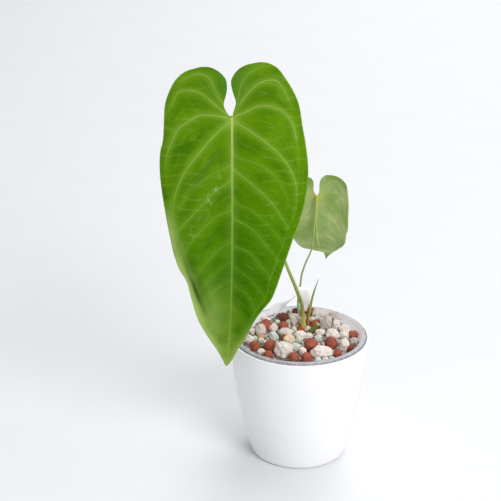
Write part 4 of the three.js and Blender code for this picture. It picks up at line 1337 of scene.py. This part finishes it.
# %% The recipe for stalks
def stalk_recipe():
    """A round solid along each chain of points, whose radius is the stored girth."""
    recipe = Recipe("stalk", Sides="count", Bumps="length", Bump_Size="length", Finish="finish")
    curve = recipe.node("GeometryNodeMeshToCurve", None, {"Mesh": recipe.given("Geometry")})
    circle = recipe.node("GeometryNodeCurvePrimitiveCircle", {"mode": "RADIUS"},
                         {"Resolution": recipe.given("Sides"), "Radius": 1.0}, "Curve")
    solid = recipe.node("GeometryNodeCurveToMesh", None,
                        {"Curve": curve, "Profile Curve": circle, "Scale": recipe.stored("girth"),
                         "Fill Caps": True})
    where = recipe.node("GeometryNodeInputPosition")
    bumps = recipe.node("ShaderNodeTexNoise", None,
                        {"Vector": where, "Scale": 1 / recipe.given("Bump Size"), "Detail": 2.0})
    away = recipe.scale(recipe.node("GeometryNodeInputNormal"),
                        recipe.given("Bumps") * (bumps - 0.5) * 2)
    recipe.done(recipe.node("GeometryNodeSetPosition", None, {"Geometry": solid, "Offset": away}))
    return recipe


stalks = stalk_recipe()

# %% Chains of points
# Degrees round the rounded end of a stalk at which it has a point.
CAP_TURNS = [15, 30, 45, 60, 75, 88]


def chain(path, radii, count, blunt=1.0):
    """Points, girths and places along a stalk. blunt is how far its rounded end stands out."""
    line = smooth_line(path, count)
    share = np.linspace(0, 1, count)
    girth = np.interp(share, *zip(*radii))
    turn = np.radians(CAP_TURNS)
    ahead = (line[-1] - line[-2]) / np.linalg.norm(line[-1] - line[-2])
    end = line[-1] + ahead * girth[-1] * blunt * np.sin(turn)[:, None]
    return (np.vstack([line, end]), np.concatenate([girth, girth[-1] * np.cos(turn)]),
            np.concatenate([share, 1 + 0.05 * np.sin(turn)]))


def chains_piece(name, *chains):
    """One mesh of edges with all the chains in it."""
    starts = np.cumsum([0] + [len(points) for points, girth, share in chains])
    edges = [(i, i + 1) for start, end in zip(starts, starts[1:]) for i in range(start, end - 1)]
    stored = {"girth": np.concatenate([girth for points, girth, share in chains]) * MM,
              "along": np.concatenate([share for points, girth, share in chains])}
    return mesh_piece(name, np.vstack([points for points, girth, share in chains]), [], stored,
                      edges)


def grow_stalk(name, node, finish, line, sides, bumps, bump_size=3):
    """A stalk along a chain, in place of its CAD node."""
    made = grow(name, chains_piece("chain", line), stalks, Sides=sides, Bumps=bumps * MM,
                Bump_Size=bump_size * MM, Finish=finish)
    keep(made, "stalk", node)


# %% [markdown]
# The stalks' finish is a ramp along their length, with fine streaks that run up them and small
# pale specks. The large stalk is orange at its foot, then yellow, then olive; its yellow is painted
# lighter as painted light, and just above it a band is painted darker as painted shade. The thin
# one is a cooler green, and the cut one is pale on its cut.

# %% The finish of stalks
def stalk_finish(name, stops, streak, speck):
    finish = Finish(name, Specular_IOR_Level=0.4)
    place = finish.place()
    drift = finish.speckle(place, 8, detail=2)
    body = finish.ramp(finish.stored("along") + (drift - 0.5) * 0.06, stops)
    streaks = finish.step(finish.speckle(finish.stretched(place, z=0.06), 0.8, detail=3), 0.35, 0.75)
    specks = finish.step(finish.cells(place, 1.3), 0.2, 0.1)
    body = finish.mix(streaks * 0.4, body, streak)
    finish.feed(Base_Color=finish.mix(specks * 0.35, body, speck),
                Roughness=0.42 + 0.2 * drift,
                Normal=finish.relief(streaks, 0.06))
    return finish.material


# Partly painted light: the yellow near the foot is painted lighter as light on it, and the band from
# 0.085 to 0.2 is painted darker as shade.
LARGE_STALK = [(0, paint(204, 130, 66)), (0.05, paint(222, 212, 120)), (0.085, paint(180, 180, 100)),
               (0.13, paint(144, 154, 78)), (0.2, paint(146, 162, 78)), (0.34, paint(154, 178, 84)),
               (0.9, paint(132, 162, 66)), (1, paint(160, 172, 86))]
SMALL_STALK = [(0, paint(146, 162, 88)), (0.12, paint(122, 152, 92)), (0.5, paint(140, 166, 102)),
               (0.75, paint(158, 178, 96)), (1, paint(190, 192, 92))]
SPIKE = [(0, paint(190, 110, 60)), (0.2, paint(178, 166, 74)), (0.4, paint(150, 176, 66)),
         (0.8, paint(112, 150, 58)), (1, paint(132, 152, 70))]
STUB = [(0, paint(168, 90, 40)), (0.3, paint(104, 118, 36)), (0.97, paint(112, 128, 44)),
        (1, paint(222, 222, 168))]

# %% The two leaf stalks
large_path = [(4.8, 30.2, 114), (5, 30.2, 122), (4.3, 28.8, 132), (2.4, 24, 149.7), (-2.5, 16, 168),
              (-7.2, 9, 183), (-12.8, 1, 200), (-38, -18, 277), (-57, -28, 338), (-65, -31.8, 360.5),
              (-67, -35.8, 367.6), (-67, -39.8, 369.3)]
large_radii = [(0, 2.65), (0.04, 2.55), (0.1, 2.05), (0.3, 1.65), (0.93, 1.5), (0.965, 1.7),
               (0.985, 2.1), (1, 1.8)]
finish = stalk_finish("large_stalk", LARGE_STALK, paint(108, 140, 50), paint(206, 212, 150))
grow_stalk("large_stalk", "petiole_large", finish, chain(large_path, large_radii, 260), 28, 0.06)

small_path = [(0.4, 39, 115), (0.2, 42, 124), (-0.4, 50, 137.2), (0.3, 58, 146), (2.2, 63, 155),
              (3.8, 66.7, 165.5), (7.6, 70.5, 176.3), (13.4, 75.5, 188.6), (17.1, 81, 220.2),
              (18.5, 82.8, 239), (18.7, 84.9, 244.8)]
small_radii = [(0, 1.45), (0.1, 1.15), (0.3, 0.95), (0.93, 0.9), (1, 1.15)]
finish = stalk_finish("small_stalk", SMALL_STALK, paint(104, 144, 88), paint(180, 198, 144))
grow_stalk("small_stalk", "petiole_small", finish, chain(small_path, small_radii, 200), 20, 0.04)

# %% New leaf and cut stub
spike_path = [(8.9, 34.8, 116), (9.8, 34.6, 128), (12, 34.2, 144), (15, 34, 159), (19.6, 34, 174)]
spike_radii = [(0, 1.35), (0.4, 1.4), (0.75, 0.9), (1, 0.25)]
finish = stalk_finish("new_leaf", SPIKE, paint(128, 160, 60), paint(206, 206, 120))
grow_stalk("new_leaf", "new_leaf_spike", finish, chain(spike_path, spike_radii, 120), 24, 0.08, 4)

stub_path, stub_radii = [(7, 17, 116.8), (10.6, 16.6, 122.6), (19.4, 16, 132)], [(0, 2.1), (1, 1.9)]
finish = stalk_finish("cut_stalk", STUB, paint(84, 98, 28), paint(190, 196, 120))
grow_stalk("cut_stalk", "petiole_stub", finish, chain(stub_path, stub_radii, 60, 0.04), 28, 0.12)

# %% [markdown]
# All of them grow from a short stem. Only its top shows between the stones, knobbly and red-orange.
# Six roots go down from it through the filling, out of sight.

# %% The top of the stem
def root_finish():
    finish = Finish("root_stem", Specular_IOR_Level=0.3)
    place = finish.place()
    clouds = finish.speckle(place, 4, detail=4)
    knobs = finish.step(finish.cells(place, 2.6), 0.15, 0.5)
    body = finish.mix(clouds, paint(206, 92, 42), paint(158, 52, 28))
    finish.feed(Base_Color=finish.mix((1 - knobs) * 0.5, body, paint(222, 140, 78)),
                Roughness=0.6 + 0.2 * clouds,
                Normal=finish.relief(finish.speckle(place, 1) - knobs * 0.6, 0.3))
    return finish.material


CROWN_AT, CROWN_HALF = np.array([5, 33, 112.5]), (9.3, 8.8, 10.8)
root_skin = root_finish()
knob = mesh_piece("crown_point", [CROWN_AT], [],
                  {"size": [[half * MM for half in CROWN_HALF]], "seed": [3], "rough": [1]})
crown = grow("stem_top", knob, stones, Detail=6, Unevenness=0.06, Lobes=3.0, Flatness=0,
             Facets=1, Grain=0.3 * MM, Pit=0.35 * MM, Pore=2.6 * MM, Finish=root_skin)
keep(crown, "root", "root_stem")

# %% Roots
ROOT_COUNT, ROOT_REACH, ROOT_DEPTH, ROOT_DROOP = 6, 25, 78, 14
ROOT_TURN, ROOT_SHORTER = 0.3, 9


def root_chain(i):
    """The path of root number i, the same as in the CAD."""
    angle = (i + ROOT_TURN) / ROOT_COUNT * 2 * np.pi
    out = CROWN_AT[:2] * 0.2 + ROOT_REACH * np.array([np.cos(angle), np.sin(angle)])
    long = ROOT_DEPTH - ROOT_SHORTER * (i % 3)
    path = []
    for t in (0.08, 0.3, 0.65, 1):
        x, y = CROWN_AT[:2] + (out - CROWN_AT[:2]) * np.sqrt(t)
        x += 3 * t * np.sin(5 * t + i)
        y += 3 * t * np.cos(4 * t + 2 * i)
        path.append((x, y, CROWN_AT[2] - 4 - ROOT_DROOP * t - (long - ROOT_DROOP) * t * t))
    return chain(path, [(0, 2), (1, 1.1)], 60)


roots = grow("roots", chains_piece("chains", *(root_chain(i) for i in range(ROOT_COUNT))), stalks,
             Sides=14, Bumps=0.2 * MM, Bump_Size=4 * MM, Finish=root_skin)
keep(roots, "root")

# %% [markdown]
# ## Sheath and label
#
# The new leaf came out of a papery red sheath that still stands round its left side. The label is a
# blank strip of white plastic, bent in a loop behind the stalks. Both are thin sheets between two
# grids of points, closed along their edges like the blades. A Solidify modifier could thicken one
# grid, but with two grids the label's long edges can be thinner than its middle. Light passes through
# thin white plastic too, so the label's finish has a weak glow of its own colour.

# %% Thin sheets
def sheet_piece(name, front, back, stored, finish):
    """A closed sheet between two like grids of points in millimetres."""
    rows, columns = front.shape[:2]
    faces = [[int(v) for v in face] for face in grid_faces(rows, columns)]
    points = np.vstack([front.reshape(-1, 3), back.reshape(-1, 3)])
    twice = {key: np.tile(values.ravel(), 2) for key, values in stored.items()}
    piece = smoothed(mesh_piece(name, points, closed_sheet(faces, rows * columns), twice))
    piece.data.materials.append(finish)
    return piece


# %% The finish of the sheath
def sheath_finish():
    finish = Finish("papery_sheath", Specular_IOR_Level=0.3)
    place = finish.place()
    fibres = finish.speckle(finish.stretched(place, z=0.05), 0.5, detail=3)
    stain = finish.speckle(place, 4, detail=3)
    stops = [(0, paint(96, 30, 32)), (0.45, paint(112, 34, 36)), (0.62, paint(176, 66, 52)),
             (1, paint(196, 92, 66))]
    body = finish.ramp(finish.stored("round") + (stain - 0.5) * 0.3, stops)
    aged = finish.mix(finish.step(finish.stored("along"), 0.55, 1) * 0.5, body, paint(150, 96, 62))
    finish.feed(Base_Color=finish.mix(finish.step(fibres, 0.5, 0.8) * 0.4, aged, paint(84, 28, 28)),
                Roughness=0.6 + 0.2 * stain, Normal=finish.relief(fibres, 0.1))
    return finish.material


# %% The papery sheath
SHEATH_FROM, SHEATH_TO, SHEATH_STAND, SHEATH_THICK = 0.02, 0.5, 0.35, 0.5
SHEATH_START, SHEATH_SWEEP, SHEATH_NARROWING = 105, 165, 0.8


def sheath(rows=60, columns=28):
    """A sheet round the new leaf's left side, narrower and torn towards its top."""
    line = smooth_line(spike_path, 400)
    up = np.linspace(0, 1, rows)[:, None]
    across = np.linspace(0, 1, columns)[None, :]
    torn = SHEATH_TO - 0.012 * np.sin(9 * across) - 0.02 * (2 * across - 1) ** 2
    share = SHEATH_FROM + (torn - SHEATH_FROM) * up
    middle = line[np.round(share * (len(line) - 1)).astype(int)]
    reach = np.interp(share, *zip(*spike_radii)) + SHEATH_STAND + 0.45 * up**2
    reach = reach + 0.12 * up * np.sin(7 * across + 5 * up)
    spread = SHEATH_SWEEP * (1 - SHEATH_NARROWING * up**1.6)
    angle = np.radians(SHEATH_START + SHEATH_SWEEP / 2 + spread * (across - 0.5))
    out = np.stack([np.cos(angle), np.sin(angle), 0 * angle], axis=-1)
    front = middle + out * (reach + SHEATH_THICK)[..., None]
    back = middle + out * reach[..., None]
    stored = {"round": across + 0 * up, "along": up + 0 * across}
    return sheet_piece("papery_sheath", front, back, stored, sheath_finish())


keep(sheath(), "sheath", "cataphyll")

# %% The label's path
# Each row is a point of the strip's centre line, then half its width there as an arm.
LABEL = [
    (6.8, 55, 108, 2, 0, 0), (6.8, 57.3, 118, 2.8, 0, 0), (6.8, 59.2, 126, 3.6, 0, 0),
    (7.7, 57.6, 134, 5.5, 0, 0), (8, 54.3, 141, 5.6, 0, 0), (6.4, 52.3, 147, 6.3, 0, 0),
    (5.2, 51.2, 152, 6.4, 0, 0), (5.1, 51.2, 155, 6.3, 0, 0), (5, 52.4, 156.8, 6, 0, 0),
    (4.4, 54.2, 155.6, 5, 0.8, 0.4), (2.4, 54.8, 152.6, 3.2, 2.2, 0.8),
    (-1.2, 53.8, 149, 1.5, 3.4, -0.6), (-3.4, 52.6, 146.8, -0.1, 4.6, -1.7),
    (-6, 51.9, 143.9, -0.3, 4.8, -2), (-9.5, 52, 141.5, -0.5, 4.8, -1.8),
    (-14.2, 53.6, 137.4, -1.2, 4.7, -0.4), (-19, 55.6, 133.6, -2.6, 3.4, 2.2),
    (-24.8, 53.8, 129.3, -3.2, 2.2, 3.4), (-30, 49.8, 122.7, -3.2, 2, 3.2),
    (-33.5, 45, 114.5, -2.8, 2, 2.4),
]
steps = np.diff(np.array(LABEL, float)[:, :3], axis=0)
print(f"The label is about {np.linalg.norm(steps, axis=1).sum():.0f} mm long")


# %% The label
def label_finish():
    finish = Finish("label_plastic", Specular_IOR_Level=0.4, Emission_Strength=0.15)
    place = finish.place()
    haze = finish.speckle(place, 9, detail=3)
    scuffs = finish.step(finish.speckle(finish.stretched(place, x=0.2), 0.6, detail=2), 0.62, 0.72)
    body = finish.mix(haze, paint(254, 254, 254), paint(249, 249, 251))
    # Painted shade: the strip's far half, which turns away from the light, is painted grey.
    body = finish.mix(finish.step(finish.stored("along"), 0.5, 0.62), body, paint(228, 225, 231))
    body = finish.mix(scuffs * 0.25, body, paint(206, 204, 204))
    finish.feed(Base_Color=body, Emission_Color=body, Roughness=0.38 + 0.2 * haze,
                Normal=finish.relief(scuffs, 0.03))
    return finish.material


def label(rows=160, columns=9, thick=0.6):
    """A strip along the label's path, with rounded long edges."""
    line = smooth_line(LABEL, rows)
    middle, arm = line[:, :3], line[:, 3:]
    normal = np.cross(np.gradient(middle, axis=0), arm)
    normal /= np.linalg.norm(normal, axis=1)[:, None]
    across = np.linspace(-1, 1, columns)
    half = thick / 2 * np.clip(1 - np.abs(across) ** 8 * 0.6, 0.3, 1)
    flat = middle[:, None] + arm[:, None] * across[None, :, None]
    shift = normal[:, None] * half[None, :, None]
    stored = {"along": np.linspace(0, 1, rows)[:, None] + 0 * across}
    return sheet_piece("white_label", flat + shift, flat - shift, stored, label_finish())


keep(label(), "label", "plant_label")

# %% [markdown]
# ## Floor, light and camera
#
# The floor is pale and plain. The light is soft and comes mostly from the right and in front, as
# from a window. One big sheet of light would do that too, but with three lamps each side can be set
# alone: a weaker lamp above fills the pot, one behind lights the far floor, and a bright world fills
# the shadows. The camera stands where the photograph was taken from: above the pot's rim and well
# back, looking down a little over twenty degrees through a long lens, whose focal length is 1400
# pixels of a picture that is 501 pixels wide.

# %% Floor
FLOOR_HALF, FLOOR_LEVEL = 9000, -0.5
corners = [(x * FLOOR_HALF, y * FLOOR_HALF, FLOOR_LEVEL) for x, y in ((-1, -1), (1, -1), (1, 1), (-1, 1))]
floor = mesh_piece("floor", corners, [(0, 1, 2, 3)])
floor_finish = Finish("floor")
floor_cloud = floor_finish.speckle(floor_finish.place(), 90)
floor_finish.feed(Base_Color=floor_finish.mix(floor_cloud, paint(232, 233, 236), paint(236, 237, 240)),
                  Roughness=0.6 + 0.1 * floor_cloud)
floor.data.materials.append(floor_finish.material)

# %% Lights
def soft_light(name, place, aim, size, power):
    """A round lamp of that size in metres and power in watts, turned towards a point."""
    lamp = bpy.data.lights.new(name, "AREA")
    lamp.shape = "DISK"
    lamp.size = size
    lamp.energy = power
    made = bpy.data.objects.new(name, lamp)
    made.location = place
    made.rotation_euler = (Vector(aim) - Vector(place)).to_track_quat("-Z", "Y").to_euler()
    bpy.context.scene.collection.objects.link(made)


soft_light("window", (1.12, -1.8, 1.6), (0, 0, 0.2), 1.3, 36)
soft_light("above", (0.4, 0.3, 2.0), (0, 0, 0.2), 1.4, 9)
soft_light("far_floor", (0.8, 2.6, 2.4), (0.4, 2.2, 0), 2.4, 47)
world = bpy.data.worlds.new("room")
world.use_nodes = True
world.node_tree.nodes["Background"].inputs[0].default_value = (0.97, 0.98, 1.0, 1.0)
world.node_tree.nodes["Background"].inputs[1].default_value = 0.47
bpy.context.scene.world = world
bpy.context.scene.view_settings.view_transform = "Standard"
print("Three soft lights and a pale room")

# %% Camera
CAMERA_PLACE, CAMERA_PITCH = (-50, -1277, 753), 22.65
SENSOR, FOCAL_PIXELS, PICTURE_PIXELS = 36, 1400, 501
camera = bpy.data.objects.new("camera", bpy.data.cameras.new("camera"))
camera.data.sensor_width = SENSOR
camera.data.lens = SENSOR * FOCAL_PIXELS / PICTURE_PIXELS
camera.location = Vector(CAMERA_PLACE) * MM
camera.rotation_euler = (np.radians(90 - CAMERA_PITCH), 0, 0)
bpy.context.scene.collection.objects.link(camera)
bpy.context.scene.camera = camera
print(f"Lens {camera.data.lens:.1f} mm, {CAMERA_PITCH} degrees down")
